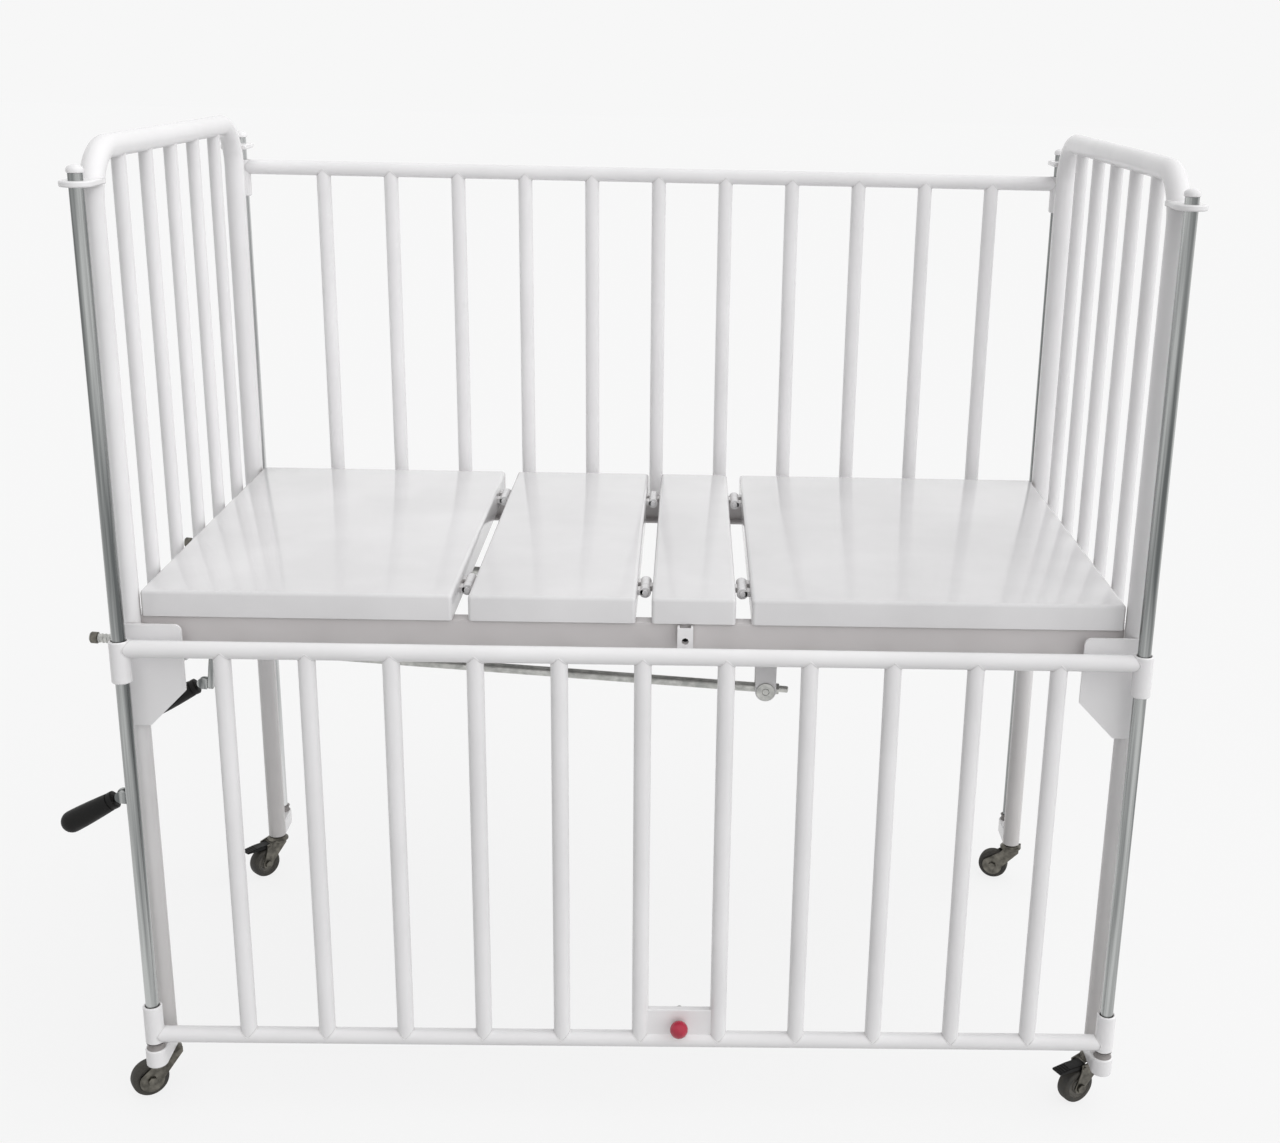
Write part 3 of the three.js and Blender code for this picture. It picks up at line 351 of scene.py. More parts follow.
def moulded(name, dark, light, dull, bright, grain_mm, strength, shine=0.5):
    """A moulded rubber or plastic: one colour that fades to a paler one in patches, with a fine grain."""
    material, tree, shader, place = new_finish(name)
    noise = {"Vector": place, "Scale": per_size(14), "Detail": 5.0}
    patches = node(tree, "ShaderNodeTexNoise", noise).outputs["Fac"]
    tone = node(tree, "ShaderNodeValToRGB", {"Fac": patches}, [(0.35, dark), (0.75, light)])
    tree.links.new(tone.outputs["Color"], shader.inputs["Base Color"])
    wear = {"Value": patches, "From Min": 0.3, "From Max": 0.7, "To Min": bright, "To Max": dull}
    gloss = node(tree, "ShaderNodeMapRange", wear)
    tree.links.new(gloss.outputs["Result"], shader.inputs["Roughness"])
    noise = {"Vector": place, "Scale": per_size(grain_mm), "Detail": 2.0}
    grain = node(tree, "ShaderNodeTexNoise", noise).outputs["Fac"]
    bump = node(tree, "ShaderNodeBump", {"Height": grain, "Strength": strength, "Distance": 0.2 * MM})
    tree.links.new(bump.outputs["Normal"], shader.inputs["Normal"])
    shader.inputs["Specular IOR Level"].default_value = shine
    return material


# Rails, bars and gussets are white. The deck is wiped glossier.
WHITE = ("#e8e7e8", "#f0eff0")
enamel = stove_enamel("white_stove_enamel", *WHITE, bright=0.14, dull=0.24)
deck_enamel = stove_enamel("white_wiped_enamel", "#dad9da", "#e3e2e3", bright=0.07, dull=0.14)
# Painted shade: the legs are greyer towards the floor, less and less up to the deck.
leg_painted_shade = ("Z", leg_bottom, LEG_SHADE_TOP, "#dedcda")
leg_enamel = stove_enamel("white_enamel_painted_leg_shade", *WHITE, bright=0.14, dull=0.26, grey=leg_painted_shade)
# Painted shade: the bed frame's members are greyer, fading to white out at the gussets' faces, for the
# shade under the deck.
frame_painted_shade = ("Y", CHANNEL_FACE, GUSSET_FACE, "#dcd9d8")
frame_shaded_enamel = stove_enamel("white_enamel_painted_frame_shade", *WHITE, bright=0.18, dull=0.26, grey=frame_painted_shade)
# Painted reflection: the chrome's streaked colour stands in for reflections of dark surroundings. It is
# darker on three rods and the cranks, and paler on the rear rod at the foot end.
chrome = chrome_plate("chrome_dark_painted_reflections", "#646767", "#bdbfbe")
pale_reflection_chrome = chrome_plate("chrome_pale_painted_reflections", "#a9abab", "#e0e1e1")
# Spindles, latch pins and swivel blocks are of zinc-plated steel. On the caster forks the floor's dust has
# darkened it.
zinc = zinc_plate("clouded_zinc_plate", "#b0b1ae", "#d0d0cc")
dark_zinc = zinc_plate("dark_zinc_plate", "#514f4a", "#7b7870")
# Buffers of grey rubber, dusty in patches.
rubber = moulded(
    "grey_moulded_rubber", "#898584", "#a5a19f", dull=0.8, bright=0.6, grain_mm=1.5, strength=0.2
)
# Grips and pedals of black plastic with a spark-eroded grain, worn shinier by hands.
black_plastic = moulded(
    "black_grained_plastic", "#0b0b0b", "#171615",
    dull=0.6, bright=0.42, grain_mm=1.2, strength=0.25, shine=0.25,
)
# The latch ball is a polished red phenolic.
red_phenolic = moulded(
    "red_polished_phenolic", "#a8213a", "#bd2d47", dull=0.26, bright=0.16, grain_mm=6, strength=0.03
)
# Caster tyres of dark grey polyurethane, dusty from the floor.
tyre = moulded(
    "grey_polyurethane_tyre", "#282725", "#48453f", dull=0.8, bright=0.55, grain_mm=1.6, strength=0.25
)
# Wheel centres of dark grey nylon.
nylon = moulded("grey_nylon_hub", "#4b4945", "#67645d", dull=0.6, bright=0.45, grain_mm=2, strength=0.15)


# Mesh building. Each function adds a closed shell to a mesh in the making.
ROUNDED_FROM_DEG = 50
SHARP_FROM_DEG = 38
POLE_RADIUS = 1e-7


def side_directions(axis):
    across = axis.orthogonal().normalized()
    return across, axis.cross(across).normalized()


def circle(bm, centre, across, up, radius, sides):
    angles = [2 * math.pi * k / sides for k in range(sides)]
    spots = [centre + (across * math.cos(a) + up * math.sin(a)) * radius for a in angles]
    return [bm.verts.new(spot) for spot in spots]


def add_rings(bm, rings, finish=0, closed=False):
    """Joins rings of vertices into a skin. A ring of one vertex is a pole."""
    pairs = list(zip(rings, rings[1:]))
    if closed:
        pairs.append((rings[-1], rings[0]))
    for low, high in pairs:
        count = max(len(low), len(high))
        for i in range(count):
            j = (i + 1) % count
            corners = [low[i % len(low)], low[j % len(low)], high[j % len(high)], high[i % len(high)]]
            unique = list(dict.fromkeys(corners))
            bm.faces.new(unique).material_index = finish


def add_tube(bm, path, radius, sides=28):
    """A round bar along a path of points, with flat ends."""
    neighbours = zip([path[0], *path[:-1]], [*path[1:], path[-1]])
    tangents = [(after - before).normalized() for before, after in neighbours]
    across, up = side_directions(tangents[0])
    rings = []
    for i, point in enumerate(path):
        if i:
            turn = tangents[i - 1].rotation_difference(tangents[i])
            across.rotate(turn)
            up.rotate(turn)
        rings.append(circle(bm, point, across, up, radius, sides))
    add_rings(bm, rings)
    bm.faces.new(list(reversed(rings[0])))
    bm.faces.new(rings[-1])


def add_lathe(bm, base, axis, profile, sides, finish=0, closed=False):
    """A turned body: radius and distance pairs about an axis through base. An open profile starts and
    ends on the axis; a closed one is a ring."""
    across, up = side_directions(axis)
    rings = []
    for radius, along in profile:
        centre = base + axis * along
        if radius < POLE_RADIUS:
            rings.append([bm.verts.new(centre)])
        else:
            rings.append(circle(bm, centre, across, up, radius, sides))
    add_rings(bm, rings, finish, closed)


def add_bar(bm, start, end, radius, sides, edge=0.6 * MM, finish=0):
    """A straight round bar with a small chamfer on each end."""
    along = end - start
    long = along.length
    near = [(0, 0), (radius - edge, 0), (radius, edge)]
    far = [(radius, long - edge), (radius - edge, long), (0, long)]
    add_lathe(bm, start, along.normalized(), near + far, sides, finish)


def add_ring(bm, base, axis, inner, outer, long, edge, sides, finish=0):
    """A sleeve, collar or washer with chamfered outer edges."""
    near = [(inner, 0), (outer - edge, 0), (outer, edge)]
    far = [(outer, long - edge), (outer - edge, long), (inner, long)]
    add_lathe(bm, base, axis, near + far, sides, finish, closed=True)


def add_plate(bm, outline, base, right, up, thick, finish=0):
    """A flat plate from an outline in two directions, as thick on one side of its base plane as on the
    other."""
    normal = right.cross(up).normalized()
    faces = []
    for offset in (-thick / 2, thick / 2):
        spots = [base + right * a + up * b + normal * offset for a, b in outline]
        faces.append([bm.verts.new(spot) for spot in spots])
    back, front = faces
    bm.faces.new(list(reversed(back))).material_index = finish
    bm.faces.new(front).material_index = finish
    add_rings(bm, [back, front], finish)


def arc(centre_a, centre_b, radius, start_deg, end_deg, steps=12):
    angles = [math.radians(start_deg + (end_deg - start_deg) * i / steps) for i in range(steps + 1)]
    return [(centre_a + radius * math.cos(a), centre_b + radius * math.sin(a)) for a in angles]


def oblong(left, low, right, high):
    return [(left, low), (right, low), (right, high), (left, high)]


def tongue(width, reach):
    """An outline with a round end at the origin that runs to a square end along its second direction."""
    half = width / 2
    return [*arc(0, 0, half, 180, 360), (half, reach), (-half, reach)]


def saddle_ring(point, bar_axis, tube_axis, bar_radius, tube_radius, steps):
    """Points of the line where a bar meets the side of a tube, each with its direction out from the bar."""
    across = tube_axis.cross(bar_axis).normalized()
    ring = []
    for i in range(steps):
        turn = 2 * math.pi * i / steps
        out = tube_axis * math.cos(turn) + across * math.sin(turn)
        height = math.sqrt(max(tube_radius**2 - (bar_radius * math.sin(turn)) ** 2, 0))
        ring.append((point + out * bar_radius + bar_axis * height, out))
    return ring


def add_bead(bm, line):
    """The weld bead along a saddle line."""
    rings = []
    for i, (spot, out) in enumerate(line):
        along = (line[(i + 1) % len(line)][0] - line[i - 1][0]).normalized()
        side = along.cross(out).normalized()
        rings.append(circle(bm, spot, out, side, BEAD, BEAD_SIDES))
    add_rings(bm, rings, closed=True)


def add_welded_bar(bm, start, end, radius, start_tube, end_tube, steps=28):
    """A bar cut to fit the sides of two tubes, with a weld bead round each end. Each tube is its direction
    and its radius."""
    along = (end - start).normalized()
    first = saddle_ring(start, along, start_tube[0], radius, start_tube[1], steps)
    last = saddle_ring(end, -along, end_tube[0], radius, end_tube[1], steps)
    turned = [last[0], *reversed(last[1:])]
    rings = [[bm.verts.new(spot) for spot, _ in ring] for ring in (first, turned)]
    add_rings(bm, rings)
    for ring, centre in ((rings[0], start), (rings[1], end)):
        hub = bm.verts.new(centre + (ring[0].co - centre).dot(along) * along)
        add_rings(bm, [ring, [hub]])
    add_bead(bm, first)
    add_bead(bm, last)


def smooth(mesh, sharp_deg=SHARP_FROM_DEG):
    mesh.shade_smooth()
    mesh.set_sharp_from_angle(angle=math.radians(sharp_deg))


def round_edges(piece, width):
    """Rounds the square edges. Chamfers and weld beads, which turn by less, keep their shape."""
    bevel = piece.modifiers.new("rounded_edges", "BEVEL")
    bevel.width = width
    bevel.segments = 2
    bevel.limit_method = "ANGLE"
    bevel.angle_limit = math.radians(ROUNDED_FROM_DEG)


def finish_piece(name, bm, body, nodes, finishes, edge=0.0):
    """Turns a mesh in the making into a piece that rides on a body and stands for CAD nodes."""
    bmesh.ops.recalc_face_normals(bm, faces=bm.faces[:])
    mesh = bpy.data.meshes.new(name)
    bm.to_mesh(mesh)
    bm.free()
    for finish in finishes:
        mesh.materials.append(finish)
    smooth(mesh)
    piece = bpy.data.objects.new(name, mesh)
    bpy.context.scene.collection.objects.link(piece)
    if edge:
        round_edges(piece, edge)
    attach(piece, body)
    if nodes:
        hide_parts(*nodes)


# End frames
def end_tube(end, x):
    bm = bmesh.new()
    inset = post_y - END_BEND
    bend_low = end_top - END_BEND
    front_bend = arc(-inset, bend_low, END_BEND, 180, 90, END_BEND_STEPS)
    rear_bend = arc(inset, bend_low, END_BEND, 90, 0, END_BEND_STEPS)
    path = [(-post_y, leg_bottom), *front_bend, *rear_bend, (post_y, leg_bottom)]
    add_tube(bm, [Vector((x, y, z)) for y, z in path], END_TUBE_RADIUS)
    upper = (UPPER_LUG_WIDTH, UPPER_LUG_THICK, upper_lug)
    lower = (LOWER_LUG_WIDTH, LOWER_LUG_TALL, leg_bottom)
    for side in (-1, 1):
        inward = Y * -side
        right = inward.cross(Z)
        for wide, tall, low in (upper, lower):
            base = Vector((x, side * rod_y, low + tall / 2))
            add_plate(bm, tongue(wide, ROD_OUTSET), base, right, inward, tall, finish=1)
    name = f"{end}_end_bent_tube"
    finish_piece(name, bm, "frame", [f"{end}_end_tube"], [leg_enamel, enamel], LUG_EDGE)


def end_grille(end, x):
    bm = bmesh.new()
    post = (Z, END_TUBE_RADIUS)
    cross = (Y, END_CROSS_RADIUS)
    top = (Y, END_TUBE_RADIUS)
    front = Vector((x, -post_y, end_cross))
    add_welded_bar(bm, front, Vector((x, post_y, end_cross)), END_CROSS_RADIUS, post, post)
    pitch = 2 * post_y / (END_BAR_COUNT + 1)
    for i in range(1, END_BAR_COUNT + 1):
        foot = front + Y * i * pitch
        add_welded_bar(bm, foot, Vector((x, foot.y, end_top)), END_BAR_RADIUS, cross, top)
    finish_piece(f"{end}_end_bars", bm, "frame", [f"{end}_end_grille"], [enamel])


def rod_and_ends(corner):
    low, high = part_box(f"{corner}_guide_rod")
    line = Vector((rods[corner].x, rods[corner].y, 0))
    radius = (high.x - low.x) / 2
    rod = bmesh.new()
    add_bar(rod, line + Z * low.z, line + Z * high.z, radius, sides=32)
    # Painted reflection: the rear rod at the foot end gets the paler streaks.
    plating = pale_reflection_chrome if corner == "rear_foot" else chrome
    finish_piece(f"{corner}_chrome_rod", rod, "frame", [f"{corner}_guide_rod"], [plating])

    seat = high.z - CAP_SINK
    low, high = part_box(f"{corner}_rod_cap")
    outer = (high.x - low.x) / 2
    tall = high.z - seat
    skirt = CAP_SKIRT_SHARE * tall
    dome = [(outer * a, skirt + (tall - skirt) * b) for a, b in arc(0, 0, 1, 0, 90, steps=10)]
    cap = bmesh.new()
    profile = [(0, 0), (outer - CAP_EDGE, 0), (outer, CAP_EDGE), *dome]
    add_lathe(cap, line + Z * seat, Z, profile, sides=32)
    finish_piece(f"{corner}_domed_cap", cap, "frame", [f"{corner}_rod_cap"], [enamel])

    low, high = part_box(f"{corner}_rail_buffer")
    outer = (high.x - low.x) / 2
    tall = high.z - low.z - WELD_CLEAR
    shares = [i / 8 for i in range(9)]
    waist = [(outer - BUFFER_WAIST * math.sin(math.pi * share), tall * share) for share in shares]
    pad = bmesh.new()
    profile = [(radius + PLAY, 0), *waist, (radius + PLAY, tall)]
    add_lathe(pad, line + Z * low.z, Z, profile, sides=32, closed=True)
    finish_piece(f"{corner}_rubber_buffer", pad, "frame", [f"{corner}_rail_buffer"], [rubber])


# Side rails
def side_rail(side):
    low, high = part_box(f"{side}_side_rail")
    y = middle(f"{side}_side_rail").y
    bottom = low.z + RAIL_BOTTOM_RADIUS
    top = high.z - RAIL_TOP_RADIUS
    sleeve = (Z, SLEEVE_RADIUS)
    lower = (X, RAIL_BOTTOM_RADIUS)
    upper = (X, RAIL_TOP_RADIUS)
    bm = bmesh.new()
    for level, radius in ((bottom, RAIL_BOTTOM_RADIUS), (top, RAIL_TOP_RADIUS)):
        foot = Vector((foot_x, y, level))
        add_welded_bar(bm, foot, Vector((head_x, y, level)), radius, sleeve, sleeve)
    first_bar = foot_x + RAIL_FOOT_GAP
    pitch = (head_x - RAIL_HEAD_GAP - first_bar) / (RAIL_BAR_COUNT - 1)
    for i in range(RAIL_BAR_COUNT):
        foot = Vector((first_bar + i * pitch, y, bottom))
        add_welded_bar(bm, foot, Vector((foot.x, y, top)), RAIL_BAR_RADIUS, lower, upper)
    for x in (foot_x, head_x):
        for start in (low.z, high.z - SLEEVE_LONG):
            base = Vector((x, y, start))
            add_ring(bm, base, Z, SLEEVE_BORE, SLEEVE_RADIUS, SLEEVE_LONG, SLEEVE_EDGE, sides=32)
    plate_left = first_bar + (LATCH_BAY - 1) * pitch
    plate_top = bottom + RAIL_BOTTOM_RADIUS + LATCH_PLATE_TALL
    outline = oblong(plate_left, bottom, plate_left + pitch, plate_top)
    add_plate(bm, outline, Y * y, X, Z, LATCH_PLATE_THICK)
    name = f"{side}_barred_rail"
    finish_piece(name, bm, f"{side}_rail", [f"{side}_side_rail"], [enamel], RAIL_EDGE)


def latch_knob(side):
    outward = joint_axis(f"{side}_latch_pull")
    low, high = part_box(f"{side}_latch_knob")
    centre = middle(f"{side}_latch_knob")
    edge, tip = (high.y, low.y) if outward.y > 0 else (low.y, high.y)
    ball = Vector((centre.x, edge, centre.z)) - outward * KNOB_RADIUS
    end = Vector((centre.x, tip, centre.z)) + outward * LATCH_PIN_CUT
    bm = bmesh.new()
    add_bar(bm, end, ball, LATCH_PIN_RADIUS, sides=20, edge=LATCH_PIN_NOSE, finish=1)
    neck_end = -KNOB_RADIUS - KNOB_NECK_LONG
    neck_deg = math.degrees(math.asin(KNOB_NECK_RADIUS / KNOB_RADIUS))
    sphere = arc(0, 0, KNOB_RADIUS, neck_deg - 90, 90, steps=18)
    profile = [(0, neck_end), (KNOB_NECK_RADIUS, neck_end), *sphere]
    add_lathe(bm, ball, outward, profile, sides=36)
    name = f"{side}_ball_knob"
    finish_piece(name, bm, f"{side}_latch", [f"{side}_latch_knob"], [red_phenolic, zinc])


def striker_hole_shade_pad(side):
    """A dished black pad on the side member, seen through the striker's hole: painted shade, a dark piece
    put where the hole shows shade.
    """
    low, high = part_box(f"{side}_latch_striker")
    outward = joint_axis(f"{side}_latch_pull")
    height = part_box("rear_latch_knob")[1].z - KNOB_RADIUS
    face = low.y if outward.y > 0 else high.y
    profile = [(0, 0), (PAD_RADIUS, 0), (PAD_RADIUS, PAD_THICK / 2), (0.9 * PAD_RADIUS, PAD_THICK)]
    profile += [(PAD_DISH_RADIUS, PAD_THICK), (0, 0.75 * PAD_THICK)]
    bm = bmesh.new()
    base = Vector((middle(f"{side}_latch_striker").x, face, height))
    add_lathe(bm, base, outward, profile, sides=24)
    finish_piece(f"{side}_striker_hole_shade_pad", bm, "frame", [], [black_plastic])


# Deck
def add_pan(bm, low_x, high_x, half):
    """A pressed pan with its top and corners folded over, closed by the sheet's own thickness."""
    levels = (deck_top - DECK_FLANGE, deck_top)
    corners = [Vector((x, y, z)) for z in levels for y in (-half, half) for x in (low_x, high_x)]
    made = bmesh.new()
    verts = [made.verts.new(corner) for corner in corners]
    for face in ((0, 1, 5, 4), (1, 3, 7, 5), (3, 2, 6, 7), (2, 0, 4, 6), (4, 5, 7, 6)):
        made.faces.new([verts[i] for i in face])
    folds = [edge for edge in made.edges if any(v.co.z > deck_top - DECK_SHEET for v in edge.verts)]
    bmesh.ops.bevel(
        made, geom=folds, offset=DECK_FOLD, segments=5, profile=0.5, affect="EDGES", clamp_overlap=True
    )
    bmesh.ops.recalc_face_normals(made, faces=made.faces[:])
    if sum(face.normal.z * face.calc_area() for face in made.faces) < 0:
        bmesh.ops.reverse_faces(made, faces=made.faces[:])
    bmesh.ops.solidify(made, geom=made.faces[:], thickness=DECK_SHEET)
    sheet = bpy.data.meshes.new("pan")
    made.to_mesh(sheet)
    made.free()
    bm.from_mesh(sheet)
    bpy.data.meshes.remove(sheet)


def add_hinge(bm, hinge, towards, forked, half):
    """One panel's share of a hinge: the middle knuckle, or the two outer ones and the pin."""
    edge = hinge.x + towards * (HINGE_GAP / 2 + DECK_SHEET / 2)
    left = min(hinge.x, edge)
    tab = oblong(0, -KNUCKLE_RADIUS / 2, abs(edge - hinge.x), KNUCKLE_RADIUS / 2)
    step = KNUCKLE_LONG + KNUCKLE_PLAY
    for y in (HINGE_INSET - half, half - HINGE_INSET):
        places = [y - step, y + step] if forked else [y]
        for place in places:
            start = Vector((hinge.x, place - KNUCKLE_LONG / 2, hinge.z))
            add_bar(bm, start, start + Y * KNUCKLE_LONG, KNUCKLE_RADIUS, sides=20, edge=0.8 * MM)
            add_plate(bm, tab, Vector((left, place, hinge.z)), X, Z, KNUCKLE_LONG)
        if forked:
            reach = 1.5 * KNUCKLE_LONG + HINGE_PIN_OUT
            ends = [Vector((hinge.x, y + way * reach, hinge.z)) for way in (-1, 1)]
            add_bar(bm, *ends, HINGE_PIN_RADIUS, sides=16)


def add_lever(bm, trunnion):
    reach = deck_top - DECK_SHEET / 2 - trunnion.z
    for face in (-1, 1):
        base = trunnion + Y * face * LEVER_SPREAD
        add_plate(bm, tongue(LEVER_WIDE, reach), base, X, Z, LEVER_SHEET)


def deck_panel(name, body, low_x, high_x, hinges, lever=None):
    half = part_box(name)[1].y
    bm = bmesh.new()
    add_pan(bm, low_x, high_x, half)
    for hinge, towards, forked in hinges:
        add_hinge(bm, hinge, towards, forked, half)
    if lever:
        add_lever(bm, lever)
    finish_piece(f"{name}_sheet", bm, body, [name], [deck_enamel], DECK_EDGE)


def deck():
    back = joint_point("backrest_hinge")
    thigh = joint_point("thigh_hinge")
    knee = joint_point("leg_hinge")
    half_gap = HINGE_GAP / 2
    foot_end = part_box("leg_panel")[0].x
    head_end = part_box("backrest_panel")[1].x
    deck_panel("leg_panel", "leg", foot_end, knee.x - half_gap, [(knee, -1, True)])
    hinges = [(knee, 1, False), (thigh, -1, True)]
    lever = joint_point("knee_trunnion")
    deck_panel("thigh_panel", "thigh", knee.x + half_gap, thigh.x - half_gap, hinges, lever)
    hinges = [(thigh, 1, False), (back, -1, False)]
    deck_panel("seat_panel", "frame", thigh.x + half_gap, back.x - half_gap, hinges)
    hinges = [(back, 1, True)]
    lever = joint_point("backrest_trunnion")
    deck_panel("backrest_panel", "backrest", back.x + half_gap, head_end, hinges, lever)


# Crank screws
def add_thread(bm, start, axis):
    """A screw thread, drawn as a wave that climbs round the spindle."""
    across, up = side_directions(axis)
    rows = round(THREAD_LONG / THREAD_PITCH * THREAD_ROWS_PER_TURN)
    rings = [[bm.verts.new(start)]]
    for row in range(rows + 1):
        along = THREAD_LONG * row / rows
        ring = []
        for k in range(THREAD_SIDES):
            angle = 2 * math.pi * k / THREAD_SIDES
            wave = 0.5 + 0.5 * math.cos(2 * math.pi * along / THREAD_PITCH - angle)
            radius = SPINDLE_RADIUS - THREAD_DEEP + THREAD_DEEP * wave
            out = across * math.cos(angle) + up * math.sin(angle)
            ring.append(bm.verts.new(start + axis * along + out * radius))
        rings.append(ring)
    rings.append([bm.verts.new(start + axis * THREAD_LONG)])
    add_rings(bm, rings)


def spindle(name):
    axis = joint_axis(f"{name}_crank_spin")
    trunnion = joint_point(f"{name}_trunnion")
    tail = joint_point(f"{name}_crank_spin") - axis * SPINDLE_TAIL
    bm = bmesh.new()
    add_thread(bm, tail, axis)
    add_bar(bm, tail + axis * (THREAD_LONG - MM), trunnion, SPINDLE_RADIUS, sides=20)
    tip = trunnion + axis * SPINDLE_TIP
    add_bar(bm, trunnion, tip, SPINDLE_TIP_RADIUS, sides=16, edge=1.2 * MM)
    nut = trunnion + axis * TIP_NUT_PLACE
    add_ring(bm, nut, axis, SPINDLE_TIP_RADIUS, TIP_NUT_RADIUS, TIP_NUT_THICK, 0.8 * MM, sides=6)
    root = SPINDLE_RADIUS - THREAD_DEEP
    collar = tail + axis * MM
    add_ring(bm, collar, axis, root, TAIL_COLLAR_RADIUS, TAIL_COLLAR_LONG, MM, sides=24, finish=1)
    half = Y * (TRUNNION_LONG / 2)
    add_bar(bm, trunnion - half, trunnion + half, TRUNNION_RADIUS, sides=28, edge=MM)
    lever_face = LEVER_SPREAD + LEVER_SHEET / 2
    pin = Y * (lever_face + PIVOT_PIN_OUT)
    add_bar(bm, trunnion - pin, trunnion + pin, PIVOT_PIN_RADIUS, sides=20, edge=0.8 * MM)
    for face in (-1, 1):
        out = Y * face
        base = trunnion + out * (lever_face + PLAY)
        add_ring(bm, base, out, PIVOT_PIN_RADIUS, WASHER_RADIUS, WASHER_THICK, 0.4 * MM, sides=24)
    finishes = [zinc, dark_zinc]
    finish_piece(f"{name}_threaded_rod", bm, f"{name}_spindle", [f"{name}_spindle"], finishes)


def crank(name):
    axis = joint_axis(f"{name}_crank_spin")
    pivot = joint_point(f"{name}_crank_spin")
    fold = joint_point(f"{name}_grip_fold")
    fold_axis = joint_axis(f"{name}_grip_fold")
    outward = -axis
    arm = fold - pivot
    arm -= axis * arm.dot(axis)
    arm_long = arm.length
    arm.normalize()
    bm = bmesh.new()
    hub_long = CRANK_STANDOFF + CRANK_BAR_THICK + BLOCK_HALF + HUB_FLANGE
    hub_start = pivot + axis * (BLOCK_HALF + HUB_FLANGE)
    add_ring(bm, hub_start, outward, HUB_BORE, HUB_RADIUS, hub_long, MM, sides=32)
    inner = HUB_RADIUS - HUB_FLANGE_SUNK
    for start in (hub_start, pivot + outward * BLOCK_HALF):
        add_ring(bm, start, outward, inner, HUB_FLANGE_RADIUS, HUB_FLANGE, 0.8 * MM, sides=32)
    middle_face = pivot + outward * (CRANK_STANDOFF + CRANK_BAR_THICK / 2)
    half = CRANK_BAR_WIDE / 2
    bar_start = HUB_BORE + PLAY
    bar = [(half, bar_start), *arc(0, arm_long, half, 0, 180, steps=16), (-half, bar_start)]
    add_plate(bm, bar, middle_face, fold_axis, arm, CRANK_BAR_THICK)
    ear = tongue(2 * (GRIP_PIN_RADIUS + EAR_SHEET), EAR_OUT)
    for face in (-1, 1):
        base = fold + fold_axis * face * (EAR_EYE / 2 + PLAY + EAR_SHEET / 2)
        add_plate(bm, ear, base, arm, axis, EAR_SHEET)
    handle = f"{name}_crank_handle"
    finish_piece(handle, bm, f"{name}_crank", [f"{name}_crank"], [chrome], CRANK_EDGE)


def crank_grip(name):
    fold = joint_point(f"{name}_grip_fold")
    fold_axis = joint_axis(f"{name}_grip_fold")
    along = joint_axis(f"{name}_grip_spin")
    if along.dot(joint_axis(f"{name}_crank_spin")) > 0:
        along = -along
    stem = bmesh.new()
    eye = fold_axis * (EAR_EYE / 2)
    add_bar(stem, fold - eye, fold + eye, GRIP_PIN_RADIUS + EYE_WALL, sides=24)
    reach = fold_axis * (CRANK_BAR_WIDE / 2)
    add_bar(stem, fold - reach, fold + reach, FOLD_PIN_RADIUS, sides=16)
    end = GRIP_START + GRIP_LONG - GRIP_PIN_SHORT
    add_bar(stem, fold, fold + along * end, GRIP_PIN_RADIUS, sides=20)
    node_name = f"{name}_crank_grip_pin"
    finish_piece(f"{name}_grip_stem", stem, f"{name}_grip_pin", [node_name], [chrome])

    bore = GRIP_PIN_RADIUS + PLAY
    groove = GRIP_RADIUS - GRIP_GROOVE
    outline = [(GRIP_RADIUS - 2 * MM, 0), (GRIP_RADIUS, 1.6 * MM), (GRIP_RADIUS, 7 * MM)]
    outline += [(groove, 7.8 * MM), (groove, 9.4 * MM), (GRIP_RADIUS, GRIP_COLLAR)]
    dome_start = GRIP_LONG - GRIP_END_RADIUS
    for i in range(1, GRIP_SWELL_STEPS + 1):
        share = i / GRIP_SWELL_STEPS
        radius = GRIP_RADIUS + (GRIP_END_RADIUS - GRIP_RADIUS) * math.sin(share * math.pi / 2)
        outline.append((radius, GRIP_COLLAR + (dome_start - GRIP_COLLAR) * share))
    outline += arc(0, dome_start, GRIP_END_RADIUS, 10, 90, steps=8)
    profile = [(0, end), (bore, end), (bore, GRIP_START)]
    profile += [(radius, GRIP_START + step) for radius, step in outline]
    grip = bmesh.new()
    add_lathe(grip, fold, along, profile, sides=36)
    node_name = f"{name}_crank_grip"
    finish_piece(f"{name}_black_grip", grip, f"{name}_grip", [node_name], [black_plastic])


